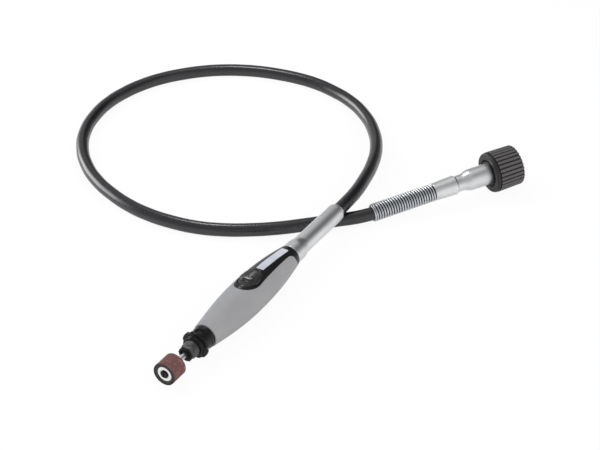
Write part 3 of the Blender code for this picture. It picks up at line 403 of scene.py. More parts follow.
def gritFinish(name, s):
    f = Finish(name, s.color, 0.9)
    grit = f.cells(s.grit)
    fine = f.noise(s.grit * 1.5, 4.0)
    patch = f.noise(220.0, 3.0)
    loaded = f.noise(520.0, 4.0).ramp(0.54, 0.68)  # dust held in the grit
    mixed = f.tint(patch.ramp(0.35, 0.65), s.color, s.second)
    mixed = f.tint(grit.ramp(0.0, 0.5), mixed, s.grain)
    mixed = f.tint(loaded * 0.35, mixed, s.dust)
    middle, reach = (s.front + s.rear) / 2, (s.front - s.rear) / 2
    fromEnd = reach - (f.parts()[2] - middle).maths("ABSOLUTE")  # dark glue at the cut ends
    cut = 1 - (fromEnd + 0.15 * mm * patch).ramp(0.30 * mm, 0.50 * mm)
    f.set(Base_Color=f.tint(cut * 0.85, mixed, s.cutEnd))
    f.set(Roughness=0.75 + 0.2 * fine)
    f.bump(grit, 0.10 * mm, 0.8)
    return f.bump(fine, 0.05 * mm, 0.6)


def feltFinish(name, color):
    f = Finish(name, color, 0.95)
    fibre = f.noise(1.0, 5.0, f.stretched((900.0, 2600.0, 2600.0)))
    f.set(Base_Color=f.tint(fibre.ramp(0.3, 0.7), color, tuple(c * 1.6 for c in color)))
    f.set(Roughness=0.85 + 0.15 * fibre)
    return f.bump(fibre, 0.15 * mm)


def frontShadedSteel(name, color, roughness, station, share):  # its front end painted darker: painted shade
    f = steelFinish(name, color, roughness)
    smear = f.noise(500.0, 3.0)
    # mask of the painted shade over the front end
    front = (f.parts()[2] + 0.4 * mm * smear).ramp(station, station + 0.4 * mm)
    body = f.tint(smear * 0.3, color, (0.09, 0.09, 0.09))
    f.set(Base_Color=f.tint(front, body, tuple(c * share for c in color)))
    return f


def ribbedFinish(name, s):  # moulded plastic whose rib tops are painted lighter than its grooves: painted light on the tops, painted shade in the grooves
    f = plasticFinish(name, s.color, 0.40, 1800.0, 0.015 * mm, Specular_IOR_Level=0.3)
    x, y, z = f.parts()
    along = z.ramp(s.rear, s.front)
    depth = s.radius - s.taper * along - (x * x + y * y) ** 0.5
    cloud = f.noise(150.0, 3.0)
    top = 1 - depth.ramp(0.12 * mm, 0.42 * mm)
    # painted light on the rib tops, fading into painted shade down the grooves
    worn = top * z.ramp(s.rear, s.rear + 0.3 * mm) * (0.75 + 0.4 * cloud)
    f.set(Base_Color=f.tint(worn.clipped(), s.color, s.worn))
    return f


gripLooks = named({
    "color": (0.268, 0.268, 0.281), "second": (0.300, 0.297, 0.302),
    "roughness": 0.52, "grain": 3200.0, "pores": 2600.0,
})
nutLooks = named({
    # the second colour is the painted light on the rib tops
    "color": (0.017, 0.016, 0.017), "worn": (0.088, 0.082, 0.085),
    "radius": 12.7 * mm, "taper": 0.3 * mm, "rear": 83.3 * mm, "front": 99.7 * mm,
})
bandLooks = named({
    "color": (0.190, 0.070, 0.066), "second": (0.235, 0.100, 0.092),
    "grain": (0.120, 0.050, 0.048), "dust": (0.30, 0.20, 0.18), "grit": 2600.0,
    "cutEnd": (0.025, 0.020, 0.020), "rear": 26.1 * mm, "front": 36.5 * mm,
})
plasticLooks = {  # color, roughness, grain, its depth, specular level
    "shellBlack": ((0.007, 0.007, 0.008), 0.26, 2200.0, 0.012 * mm, 0.3),
    "capBlack": ((0.006, 0.006, 0.006), 0.16, 1600.0, 0.006 * mm, 0.2),
    "buttonBlack": ((0.010, 0.010, 0.010), 0.20, 1800.0, 0.003 * mm, 0.6),
}

gripSkin = softTouchFinish("softTouchGrey", gripLooks).material
shellBlack, capBlack, buttonBlack = [
    plasticFinish(name, *values, Specular_IOR_Level=level).material
    for name, (*values, level) in plasticLooks.items()
]
nutBlack = ribbedFinish("nutBlack", nutLooks).material
cableBlack = rubberFinish("cableBlack", (0.006, 0.006, 0.008), 0.24, Specular_IOR_Level=0.7).material
drumRubber = rubberFinish("drumRubber", (0.012, 0.012, 0.012), 0.55).material
zinc = zincFinish("zincPlate", (0.74, 0.75, 0.76), 0.30).material
coil = steelFinish("springWire", (0.60, 0.62, 0.65), 0.28, False).material
ground = steelFinish("groundSteel", (0.60, 0.61, 0.62), 0.24).material
blackened = steelFinish("blackenedSteel", (0.10, 0.10, 0.103), 0.34).material
# the nut's front 0.7 mm is painted darker: painted shade
nutSatin = frontShadedSteel("nutSatin", (0.145, 0.144, 0.142), 0.48, 16.5 * mm, 0.25).material
# dark oxide; on the collet it also serves as painted shade
darkOxideAndShade = steelFinish("darkOxideAndShade", (0.030, 0.030, 0.028), 0.42).material
bronze = steelFinish("bronze", (0.42, 0.28, 0.13), 0.34).material
felt = feltFinish("feltGrey", (0.018, 0.017, 0.016)).material
grit = gritFinish("abrasiveCloth", bandLooks).material
washerPale = zincFinish("washerPale", (0.86, 0.86, 0.84), 0.30, False).material
labelPale = plasticFinish("labelPale", (0.47, 0.49, 0.54), 0.26, 1500.0, 0.006 * mm).material
print("finishes made")


# cable

cableSettings = named({
    "diameter": 8.1 * mm,
    "inFerrule": 20.0 * mm,  # hidden length in the handpiece's ferrule
    "inCoupling": 53.0 * mm,
    "ferruleRear": 140.0 * mm,
    # x, y and lift above lying flat, from the ferrule's mouth round to the guard spring
    "route": [
        (-0.0586, -0.0353, 0.0087), (-0.0736, -0.0384, 0.0078), (-0.0936, -0.0440, 0.0063),
        (-0.1166, -0.0536, 0.0044), (-0.1386, -0.0680, 0.0025), (-0.1556, -0.0842, 0.0010),
        (-0.1676, -0.1013, 0.0002), (-0.1746, -0.1193, 0.0), (-0.1778, -0.1358, 0.0),
        (-0.1778, -0.1498, 0.0), (-0.1760, -0.1628, 0.0), (-0.1729, -0.1753, 0.0),
        (-0.1681, -0.1873, 0.0), (-0.1616, -0.1988, 0.0), (-0.1531, -0.2096, 0.0),
        (-0.1426, -0.2192, 0.0), (-0.1301, -0.2278, 0.0), (-0.1156, -0.2342, 0.0),
        (-0.0996, -0.2379, 0.0), (-0.0826, -0.2388, 0.0), (-0.0646, -0.2360, 0.0),
        (-0.0450, -0.2290, 0.0), (-0.0261, -0.2170, 0.0), (-0.0099, -0.2008, 0.0),
        (0.0012, -0.1843, 0.0), (0.0086, -0.1678, 0.0), (0.0135, -0.1518, 0.0),
        (0.0158, -0.1358, 0.0), (0.0154, -0.1188, 0.0), (0.0124, -0.1023, 0.0),
        (0.0068, -0.0883, 0.0), (-0.0013, -0.0748, 0.0), (-0.0111, -0.0620, 0.0),
        (-0.0223, -0.0503, 0.0), (-0.0345, -0.0385, 0.0001),
    ],
})


def makeCable(s):
    radius = s.diameter / 2
    exitPoint = handFrame @ Vector((0, 0, -s.ferruleRear))
    points = [handFrame @ Vector((0, 0, s.inFerrule - s.ferruleRear)), exitPoint]
    points.append(handFrame @ Vector((0, 0, -s.ferruleRear - s.diameter)))
    points += [Vector((x, y, radius + lift)) for x, y, lift in s.route]
    points.append(couplingFrame @ Vector((0, 0, -radius)))
    points.append(couplingFrame @ Vector((0, 0, s.inCoupling / 2)))
    points.append(couplingFrame @ Vector((0, 0, s.inCoupling)))
    curve, spline = newCurve("cableSheath", radius, 10, "BEZIER", len(points))
    curve.resolution_u = 10
    for knot, point in zip(spline.bezier_points, points):
        knot.co = point
        knot.handle_left_type = knot.handle_right_type = "AUTO"
    sheath = addPiece("cableSheath", curve, cableBlack, "tool_body", "sheath", Matrix())
    bpy.context.view_layer.update()


makeCable(cableSettings)


# handpiece: stations run forward from the shell's front face, so the body lies at negative ones

bodySettings = settings({
    "setback": 1.5,  # of the grip's front edge
    "noseRadius": 7.0, "bellyRadius": 10.8, "bellyBack": 41.0, "rearRadius": 6.8, "length": 86.8,
    "eyeCentre": 45.0, "eyeLength": 11.0, "eyeHalf": 7.0, "spineHalf": 4.9,
    "flareStart": 77.6, "flareReach": 6.2, "flareWidth": 3.1, "rimBack": 83.6,
    "gripRow": 0.12, "gripWall": 1.3, "gripEdge": 0.28,
    "shellDrop": 1.75, "shellLeast": 6.4, "shellBore": 5.3, "seam": 0.16,
    "spineWall": 0.55,  # thin enough for the button to pass straight down
}, rearTaper=2.2, rimSlant=0.35)


def bodyRadius(back, s=bodySettings):
    if back <= s.bellyBack:
        share = sin(pi / 2 * max(0.0, back) / s.bellyBack)
        return s.noseRadius + (s.bellyRadius - s.noseRadius) * share
    share = ((back - s.bellyBack) / (s.length - s.bellyBack)) ** s.rearTaper
    return s.bellyRadius - (s.bellyRadius - s.rearRadius) * share


def openingAngle(back, s=bodySettings):  # half the angle over which the black shell shows
    front = s.eyeCentre - s.eyeLength
    radius = bodyRadius(back)
    if back <= front:
        return 0.0
    if back <= s.eyeCentre:
        half = s.eyeHalf * sqrt(max(0.0, 1 - ((s.eyeCentre - back) / s.eyeLength) ** 2))
    else:
        share = min(1.0, (back - s.eyeCentre) / (s.flareStart - s.eyeCentre))
        half = s.eyeHalf + (s.spineHalf - s.eyeHalf) * share
    if back > s.flareStart:
        sine = min(1.0, (back - s.flareStart) / s.flareReach)
        half += s.flareWidth * (1 - sqrt(1 - sine * sine))
    rim = acos(max(-1.0, min(1.0, (s.rimBack - back) / (s.rimSlant * radius))))
    return max(asin(min(1.0, half / radius)), rim)


def openingEnd(s=bodySettings):  # where the grip's rear edge passes underneath
    back = s.rimBack
    for i in range(20):
        back = s.rimBack + s.rimSlant * bodyRadius(back)
    return back


def bodyStations(s=bodySettings):
    tip = s.eyeCentre - s.eyeLength
    quarter = pi / 2
    long, eye, flare = 28, 16, 26  # rows over each stretch
    stations = [s.setback + (tip - s.setback) * i / long for i in range(long)]
    stations += [tip + s.eyeLength * (1 - cos(quarter * i / eye)) for i in range(eye)]
    stations += [s.eyeCentre + (s.flareStart - s.eyeCentre) * i / long for i in range(long)]
    reach = openingEnd() - s.flareStart
    return stations + [s.flareStart + reach * sin(quarter * i / flare) for i in range(flare + 1)]


def makeGrip(s):  # outer and inner skin from the same angles, closed at its rims
    shape = bmesh.new()
    columns = 120
    rings = []
    rows = []
    for back in bodyStations():
        if not rows or back - rows[-1] >= s.gripRow:
            rows.append(back)
    for back in rows:
        start = openingAngle(back)
        angles = [start + (2 * pi - 2 * start) * i / columns for i in range(columns + 1)]
        pair = []
        for r in (bodyRadius(back), bodyRadius(back) - s.gripWall):
            pair.append([shape.verts.new((r * cos(a), r * sin(a), -back)) for a in angles])
        rings.append((start, pair))
    for (startA, (a, innerA)), (startB, (b, innerB)) in zip(rings, rings[1:]):
        for i in range(columns):
            shape.faces.new((a[i], a[i + 1], b[i + 1], b[i]))
            shape.faces.new((innerA[i + 1], innerA[i], innerB[i], innerB[i + 1]))
        if startA + startB > 0:
            shape.faces.new((innerA[0], a[0], b[0], innerB[0]))
            shape.faces.new((a[-1], innerA[-1], innerB[-1], b[-1]))
    for outer, inner in (rings[0][1], rings[-1][1]):
        for i in range(columns):
            shape.faces.new((outer[i], outer[i + 1], inner[i + 1], inner[i]))
    bmesh.ops.remove_doubles(shape, verts=shape.verts, dist=0.002 * mm)
    mesh = fromShape("gripSkin", shape)
    grip = addPiece("gripSkin", mesh, gripSkin, "tool_body", "soft_grip")
    finished(grip, edge=s.gripEdge)


def insideLoop(point, loop):
    x, y = point
    inside = False
    for (ax, ay), (bx, by) in zip(loop, loop[1:] + loop[:1]):
        if (ay > y) != (by > y) and x < (bx - ax) * (y - ay) / (by - ay) + ax:
            inside = not inside
    return inside


def panelMesh(name, outline, holes=(), guides=(), spacing=0.7 * mm, lift=None):
    # a skin over the body from flat loops of (back, angle), triangulated evenly between them
    unit = 9.0 * mm  # of angle
    flat = lambda loop: [(back, angle * unit) for back, angle in loop]
    outer = flat(outline)
    inner = [flat(hole) for hole in holes]
    inBounds = lambda spot: insideLoop(spot, outer) and not any(insideLoop(spot, hole) for hole in inner)
    points, edges = [], []
    for loop in [outer] + inner + [flat(guide) for guide in guides]:
        first = len(points)
        points += loop
        edges += [(first + i, first + (i + 1) % len(loop)) for i in range(len(loop))]
    low = [min(p[k] for p in outer) for k in (0, 1)]
    high = [max(p[k] for p in outer) for k in (0, 1)]
    near = {}  # the loops' points by cell
    for p in points:
        near.setdefault((round(p[0] / spacing), round(p[1] / spacing)), []).append(p)
    around = [(i, j) for i in (-1, 0, 1) for j in (-1, 0, 1)]
    row = 0
    y = low[1]
    while y < high[1]:
        x = low[0] + (spacing / 2 if row % 2 else 0.0)
        while x < high[0]:
            cell = (round(x / spacing), round(y / spacing))
            close = [q for i, j in around for q in near.get((cell[0] + i, cell[1] + j), ())]
            clear = all((q[0] - x) ** 2 + (q[1] - y) ** 2 > (0.6 * spacing) ** 2 for q in close)
            if clear and inBounds((x, y)):
                points.append((x, y))
            x += spacing
        y += spacing * 0.87  # rows of even triangles
        row += 1
    spots, _, faces, *_ = delaunay_2d_cdt([Vector(p) for p in points], edges, [], 0, 1e-7, False)
    shape = bmesh.new()
    made = []
    for back, across in spots:
        angle = across / unit
        radius = bodyRadius(back) + (lift(back, angle) if lift else 0.0)
        made.append(shape.verts.new((radius * cos(angle), radius * sin(angle), -back)))
    for face in faces:
        middle = sum((spots[i] for i in face), Vector((0.0, 0.0))) / len(face)
        if inBounds(middle):
            shape.faces.new([made[i] for i in face])
    bmesh.ops.delete(shape, geom=[v for v in shape.verts if not v.link_faces], context="VERTS")
    bmesh.ops.remove_doubles(shape, verts=shape.verts, dist=0.003 * mm)
    mesh = fromShape(name, shape, 60.0)
    outward = sum(p.normal.dot(Vector((p.center.x, p.center.y, 0.0))) for p in mesh.polygons)
    if outward < 0:
        mesh.flip_normals()
    return mesh


buttonSettings = settings({
    "middle": 45.5, "front": 37.0, "rear": 53.5, "half": 5.8,
    "clear": 0.30, "lip": 0.22, "lipWidth": 0.75, "wellFloor": 6.6,
    "step": 42.4,  # where the tongue ends and the dome begins
    "ledge": 0.5,  # how far the steep face runs back
    "facet": 1.3,  # the slanted flat behind it, over facetHalf of angle on each side
    "tongue": -0.25, "dome": 1.0, "ribHeight": 0.10, "roundOff": 0.8, "edge": 0.15,
    "row": 0.28,  # between the lines that its mesh follows
    "skirt": 8.9,  # its underside's height over the axis
}, pinch=0.12, facetSlope=0.125, facetHalf=0.22, ribs=10)


def teardrop(margin, count=72, s=buttonSettings):  # (back, angle) points
    points = []
    for i in range(count):
        turn = 2 * pi * i / count
        forward = cos(turn)
        reach = (s.middle - s.front if forward > 0 else s.rear - s.middle) + margin
        side = (s.half + margin) * sin(turn) * (1 - s.pinch * max(0.0, forward) ** 2)
        back = s.middle - reach * forward
        points.append((back, asin(side / bodyRadius(back))))
    return points


def fromTeardrop(back, angle, s=buttonSettings):  # distance outside the button's outline, roughly
    reach = s.middle - s.front if back < s.middle else s.rear - s.middle
    along = (s.middle - back) / reach
    side = bodyRadius(back) * sin(angle) / s.half
    side /= 1 - s.pinch * max(0.0, min(1.0, along)) ** 2
    return (hypot(along, side) - 1) * min(reach, s.half)


def makeShell(s, b):
    seam = s.seam
    tip = s.eyeCentre - s.eyeLength + seam
    stations = [back for back in bodyStations() if tip + 0.05 * mm < back < openingEnd() - 0.5 * mm]
    side = []
    for back in stations:
        angle = openingAngle(back) - seam / bodyRadius(back)
        if angle > 0.03:
            side.append((back, angle))
    last = openingEnd() + seam
    side += [(last, pi), (s.length, pi)]
    steps = 90
    rear = [(s.length, pi - 2 * pi * i / steps) for i in range(1, steps)]
    mirrored = [(back, -angle) for back, angle in reversed(side)]
    outline = [(tip, 0.0)] + side + rear + mirrored


    def lip(back, angle):  # raised round the well
        off = abs(fromTeardrop(back, angle) / b.lipWidth - 1.0)
        return b.lip * max(0.0, 1 - off) ** 0.6

    guides = [teardrop(b.clear + extra * mm) for extra in (0.12, 0.27, 0.45, 0.62)]
    mesh = panelMesh("shellSpine", outline, [teardrop(b.clear)], guides, lift=lip)
    spine = addPiece("shellSpine", mesh, shellBlack, "tool_body", "body_shell")
    finished(spine, s.spineWall, 0.14 * mm, 2)

    steps = 40
    core = []
    for i in range(steps + 1):
        back = s.length * i / steps
        core.append((-back, max(bodyRadius(back) - s.shellDrop, s.shellLeast)))
    core[-1] = (-s.length + 0.4 * mm, core[-1][1])
    points = core + [(core[-1][0], s.shellBore), (0.0, s.shellBore)]
    mesh = turnedMesh("shellCore", points, 64)
    tube = addPiece("shellCore", mesh, shellBlack, "tool_body", None)
    well = bmesh.new()
    rim = [(b.wellFloor, bodyRadius(back) * sin(angle), -back) for back, angle in teardrop(b.clear)]
    face = well.faces.new([well.verts.new(p) for p in rim])
    grown = bmesh.ops.extrude_face_region(well, geom=[face])["geom"]
    upper = [part for part in grown if isinstance(part, bmesh.types.BMVert)]
    bmesh.ops.translate(well, verts=upper, vec=(8 * mm, 0, 0))
    cutOut(tube, "well", well)


def makeButton(s):
    def lift(back, angle):
        inward = -fromTeardrop(back, angle)
        edge = min(1.0, max(0.0, inward / s.roundOff))
        rounded = sqrt(1 - (1 - edge) ** 2)
        if back < s.step:
            return s.tongue + s.edge * (rounded - 1)
        along = (back - s.step) / (s.rear - s.step)
        behind = back - s.step - s.ledge
        dome = s.dome * sqrt(max(0.0, sin(pi * (0.28 + 0.72 * along))))
        dome -= s.facetSlope * max(0.0, s.facet - max(0.0, behind))
        ribbed = behind > s.facet and along < 0.9
        rib = s.ribHeight * cos(2 * pi * along * s.ribs) if ribbed else 0.0
        across = 1 / cos(min(abs(angle), s.facetHalf)) - 1
        across *= 1 - smoothStep(abs(angle), s.facetHalf, 1.6 * s.facetHalf)
        flat = 1 - smoothStep(behind, s.facet, 2 * s.facet)
        high = dome * (0.35 + 0.65 * rounded) + rib * rounded + across * bodyRadius(back) * flat * rounded
        return s.tongue + (high - s.tongue) * smoothStep(behind, -s.ledge, 0.0)
    guides = [teardrop(-inset * mm) for inset in (0.15, 0.4, 0.8)]
    margin = 0.95 * mm
    back = s.front + 2 * margin
    while back < s.rear - 2 * margin:
        reach = (s.middle - s.front if back < s.middle else s.rear - s.middle) - margin
        along = (s.middle - back) / reach
        side = (s.half - margin) * sqrt(1 - along ** 2) * (1 - s.pinch * max(0.0, along) ** 2)
        angle = asin(side / bodyRadius(back))
        count = max(4, round(2 * side / (0.45 * mm)))
        guides.append([(back, -angle + 2 * angle * i / count) for i in range(count + 1)])
        back += s.row
    mesh = panelMesh("buttonCap", teardrop(0.0), (), guides, 0.26 * mm, lift)
    shape = bmesh.new()
    shape.from_mesh(mesh)
    bpy.data.meshes.remove(mesh)
    rim = [edge for edge in shape.edges if edge.is_boundary]
    skirt = bmesh.ops.extrude_edge_only(shape, edges=rim)["geom"]
    low = [part for part in skirt if isinstance(part, bmesh.types.BMVert)]
    for vert in low:
        vert.co.x = s.skirt
    bmesh.ops.holes_fill(shape, edges=[edge for edge in shape.edges if edge.is_boundary])
    mesh = fromShape("buttonCap", shape, 50.0)
    button = addPiece("buttonCap", mesh, buttonBlack, "lock", "lock_button")
    finished(button, None, s.edge, 2)


labelSettings = settings({"front": 55.5, "rear": 82.4, "half": 2.3, "corner": 0.8, "proud": 0.14})


def makeLabel(s):
    corners = [(s.front, -1), (s.rear, -1), (s.rear, 1), (s.front, 1)]
    outline = []
    for i, (back, sign) in enumerate(corners):
        centreBack = back + (s.corner if back == s.front else -s.corner)
        centreSide = sign * (s.half - s.corner)
        for k in range(7):
            turn = pi + pi / 2 * (i + k / 6)
            place = centreBack + s.corner * cos(turn)
            outline.append((place, asin((centreSide + s.corner * sin(turn)) / bodyRadius(place))))
    mesh = panelMesh("labelPlate", outline, (), (), 0.7 * mm, lambda back, angle: s.proud)
    plate = addPiece("labelPlate", mesh, labelPale, "tool_body", "label_strip")
    finished(plate, 0.3 * mm, 0.05 * mm, 2)


makeGrip(bodySettings)
makeShell(bodySettings, buttonSettings)
makeButton(buttonSettings)
makeLabel(labelSettings)
print("handpiece body made")


# nose cap, collet nut and bit

noseSettings = settings({
    "flange": 8.0, "flangeFront": 8.3, "flangeBack": 6.5,
    "hub": 5.4, "hubFront": 10.0, "hubRoot": 5.9,
    "neck": 6.5, "neckFront": 0.25, "spigot": 5.0, "spigotRear": 10.7,
    "bore": 3.87, "sealSeat": 4.85, "sealDepth": 3.0,
    "lobeRadius": 3.0, "lobeDepth": 0.45,
    "window": 0.9, "windowHalf": 2.8, "windowInset": 1.1, "windowEdge": 0.35,
    "collar": 6.75, "collarFront": 1.25,
}, lobes=6)


def makeNose(s):
    away = s.flange + s.lobeRadius - s.lobeDepth

    def form(station, radius, angle):
        if radius > s.neck + 0.2 * mm and station > s.collarFront + 1 * mm:
            pitch = 2 * pi / s.lobes
            off = (angle / pitch - 0.5) % 1.0
            off = min(off, 1 - off) * pitch
            miss = away * sin(off)
            if miss < s.lobeRadius:
                scallop = away * cos(off) - sqrt(s.lobeRadius ** 2 - miss * miss)
                radius = min(radius, scallop - (s.flange - radius))
        elif radius > s.spigot + 1 * mm and s.collarFront < station < s.flangeBack:
            inset = s.windowInset
            first = s.collarFront + inset / 2
            last = s.flangeBack - inset
            deep = smoothStep(station, first, first + s.windowEdge)
            deep *= 1 - smoothStep(station, last - s.windowEdge, last)
            off = min(angle, 2 * pi - angle, abs(angle - pi))
            across = s.neck * sin(off)
            deep *= 1 - smoothStep(across, s.windowHalf - s.windowEdge, s.windowHalf)
            radius -= s.window * deep
        return radius

    seat = s.hubFront - s.sealDepth
    profile = [
        (s.hubFront, s.hub, 0.4), (s.flangeFront, s.hubRoot, 0.3),
        (s.flangeFront, s.flange, 0.45), (s.flangeBack, s.flange, 0.45),
        (s.flangeBack, s.neck, 0.4), (s.collarFront + 0.3 * mm, s.neck, 0.1),
        (s.collarFront, s.collar, 0.15),
        (s.neckFront, s.collar, 0.25), (s.neckFront, s.spigot, 0.0),
        (-s.spigotRear, s.spigot, 0.3), (-s.spigotRear, s.bore, 0.0),
        (seat, s.bore, 0.0), (seat, s.sealSeat, 0.0), (s.hubFront, s.sealSeat, 0.15),
    ]
    points = eased(profile)
    turnedPiece("noseBody", points, 240, capBlack, "tool_body", "nose_cap", "black_gloss", form, 0.3)


def makeLockSpring():  # pressed flat between the well's floor and the button
    mesh = frame["nodes"]["lock_spring"].data.copy()
    mesh.name = "lockCoil"
    mesh.materials.clear()
    piece = addPiece("lockCoil", mesh, coil, "tool_body", "lock_spring", Matrix())
    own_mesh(piece)


nutSettings = settings({
    "radius": 4.7, "rear": 10.6, "front": 17.2, "bore": 3.87, "mouth": 2.8,
    "seat": 15.3, "flats": 8.0, "flatLength": 3.0,
})


def makeNut(s):
    shoulder = s.front - s.flatLength

    def form(station, radius, angle):
        if radius < s.bore + 0.3 * mm or station < shoulder:
            return radius
        off = (angle / (pi / 3) + 0.5) % 1.0 - 0.5
        flat = s.flats / 2 / cos(off * pi / 3)
        drop = smoothStep(station, shoulder, shoulder + 0.3 * mm)
        return radius + (min(radius, flat - (s.radius - radius) * 0.6) - radius) * drop

    profile = [
        (s.front, s.radius, 0.7), (s.rear, s.radius, 0.5), (s.rear, s.bore, 0.3),
        (s.seat, s.bore, 0.1), (s.seat, s.mouth + 0.35 * mm, 0.1),
        (s.front, s.mouth, 0.35),
    ]
    points = eased(profile)
    turnedPiece("nutBody", points, 144, nutSatin, "collet_nut", "collet_nut", "dark_steel", form, 0.3)


bitSettings = settings({
    "shank": 1.5875, "shankRear": -6.0, "disc": 3.4, "discRear": 25.25, "discFront": 25.85,
    "spigot": 1.5, "spigotFront": 35.2, "rear": 26.1, "front": 36.5,
    "band": 6.6, "bandWall": 0.5, "seat": 4.5, "seatDepth": 1.4,
    "washer": 4.4, "washerFront": 36.1, "head": 2.2, "headDepth": 0.9, "slot": 0.5, "slotDepth": 0.55,
    "screw": 0.9, "screwLength": 5.2, "seam": 0.10, "uneven": 0.03,
}, lapTurns=0.55, lapWidth=0.012)


def makeBit(s):
    shank = [
        (s.spigotFront, 0.0, 0.0), (s.spigotFront, s.spigot, 0.2), (s.discFront, s.spigot, 0.0),
        (s.discFront, s.disc, 0.15), (s.discRear, s.disc, 0.15),
        (s.discRear, s.shank, 0.2), (s.shankRear, s.shank, 0.3), (s.shankRear, 0.0, 0.0),
    ]
    turnedPiece("bitShank", eased(shank), 64, ground, "bit", "mandrel", "ground_steel")
    inner = s.band - s.bandWall - 0.05 * mm
    rubber = [
        (s.front - 0.1 * mm, inner, 0.5), (s.rear + 0.1 * mm, inner, 0.5),
        (s.rear + 0.1 * mm, s.spigot + 0.25 * mm, 0.2),
        (s.front - s.seatDepth, s.spigot + 0.25 * mm, 0.1),
        (s.front - s.seatDepth, s.seat, 0.1), (s.front - 0.1 * mm, s.seat, 0.25),
    ]
    turnedPiece("drumBody", eased(rubber), 96, drumRubber, "bit", "rubber_drum", "black_rubber", step=0.8)

    def wrap(station, radius, angle):  # cloth: a slightly uneven tube with its glued spiral lap
        if radius < s.band - 0.2 * mm:
            return radius
        lap = (angle / (2 * pi) + (station - s.rear) / (s.front - s.rear) * s.lapTurns) % 1.0
        seam = exp(-((lap - 0.5) / s.lapWidth) ** 2)
        return radius - s.seam * seam - s.uneven * (1 + sin(5 * angle + 900 * station)) / 2

    band = [
        (s.front, s.band, 0.12), (s.rear, s.band, 0.12),
        (s.rear, s.band - s.bandWall, 0.05), (s.front, s.band - s.bandWall, 0.05),
    ]
    points = eased(band)
    turnedPiece("bandCloth", points, 200, grit, "band", "sanding_band", "abrasive_band", wrap, 0.35)
    seatFloor = s.front - s.seatDepth + 0.25 * mm
    washer = [
        (s.washerFront, s.head + 0.35 * mm, 0.12), (s.washerFront, s.washer, 0.3),
        (seatFloor, s.washer, 0.1), (seatFloor, 1.15 * mm, 0.0), (seatFloor + 0.3 * mm, 1.15 * mm, 0.0),
        (seatFloor + 0.3 * mm, s.head + 0.25 * mm, 0.1),
    ]
    points = eased(washer)
    turnedPiece("washerDisc", points, 96, washerPale, "washer", "drum_washer", "pale_washer", step=0.5)
    headRear = seatFloor + 0.5 * mm
    headFront = headRear + s.headDepth
    screw = [
        (headFront, 0.0, 0.0), (headFront, s.head, 0.35), (headRear, s.head, 0.1),
        (headRear, s.screw, 0.1), (s.front - s.screwLength, s.screw, 0.2),
        (s.front - s.screwLength, 0.0, 0.0),
    ]
    mesh = turnedMesh("screwHead", eased(screw), 64)
    head = addPiece("screwHead", mesh, darkOxideAndShade, "screw", "drum_screw")
    slot = bmesh.new()
    bmesh.ops.create_cube(slot, size=1.0)
    sized = Matrix.Diagonal((8 * mm, s.slot, 2 * s.slotDepth, 1.0))
    bmesh.ops.transform(slot, verts=slot.verts, matrix=Matrix.Translation((0, 0, headFront)) @ sized)
    cutOut(head, "slot", slot)
    finished(head, None, 0.06 * mm, 2)


makeNose(noseSettings)
makeLockSpring()
makeNut(nutSettings)
makeBit(bitSettings)
print("nose, nut and bit made")


# ferrules, guard spring and coupling

ferruleSettings = settings({
    "base": 6.45, "radius": 5.5, "collarEnd": 95.0, "flareEnd": 98.5, "rear": 140.0, "front": 68.5,
    "inner": 5.0, "stop": 93.0, "passage": 3.0, "bore": 4.15, "oval": 0.02,
})


def makeFerrule(s, b):
    base = b.length + 0.15 * mm
    profile = [
        (-s.front, s.inner, 0.2), (-base, s.inner, 0.0), (-base, s.base, 0.3),
        (-s.collarEnd, s.base, 2.0), (-s.flareEnd, s.radius, 2.0),
    ]
    profile += [
        (-s.rear + 1.4 * mm, s.radius, 0.4), (-s.rear, s.radius - 0.55 * mm, 0.35),
        (-s.rear, s.bore, 0.15), (-s.stop, s.bore, 0.0), (-s.stop, s.passage, 0.0),
        (-s.front, s.passage, 0.0),
    ]

    def dented(station, radius, angle):  # drawn tube: never quite round
        if radius < s.radius - 0.6 * mm:
            return radius
        oval = s.oval * sin(2 * angle + 90 * station)
        return radius + oval + 0.6 * s.oval * sin(3 * angle - 210 * station)

    points = eased(profile)
    turnedPiece("rearTube", points, 128, zinc, "tool_body", "handpiece_ferrule", "zinc_plate", dented, 1.0)


springSettings = settings({"length": 42.4, "wire": 1.15, "bore": 4.3}, turns=25)


def makeSpring(s):
    perTurn = 40  # points
    curve, spline = newCurve("guardCoil", s.wire / 2, 4, "POLY", s.turns * perTurn + 1)
    radius = s.bore + s.wire / 2
    closed = s.wire * 1.02  # pitch of the touching end coils
    length = s.length - s.wire
    opened = (length - 2 * closed) / (s.turns - 2)
    for i, point in enumerate(spline.points):
        turns = i / perTurn
        inner = min(max(turns - 1, 0.0), s.turns - 2)
        ends = min(turns, 1.0) + max(0.0, turns - s.turns + 1)
        station = s.wire / 2 + ends * closed + inner * opened
        angle = 2 * pi * turns
        point.co = (radius * cos(angle), radius * sin(angle), station, 1.0)
    addPiece("guardCoil", curve, coil, "tool_body", "guard_spring", couplingFrame)


tubeSettings = settings({
    "rear": 42.0, "mouth": 5.4, "radius": 6.0, "end": 56.8, "neck": 5.1, "coneStart": 62.6,
    "coneEnd": 66.4, "barrel": 6.6, "stop": 54.0, "bore": 4.3, "passage": 3.0,
    "cavityRear": 65.5, "cavity": 4.9, "seat": 86.2, "seatRadius": 8.8, "seatWall": 2.2,
    "grooveFront": 81.6, "grooveRear": 80.55, "grooveDepth": 0.5,
    "dentsAt": 59.5, "dentsReach": 3.5, "dentDepth": 0.10, "oval": 0.02,
})


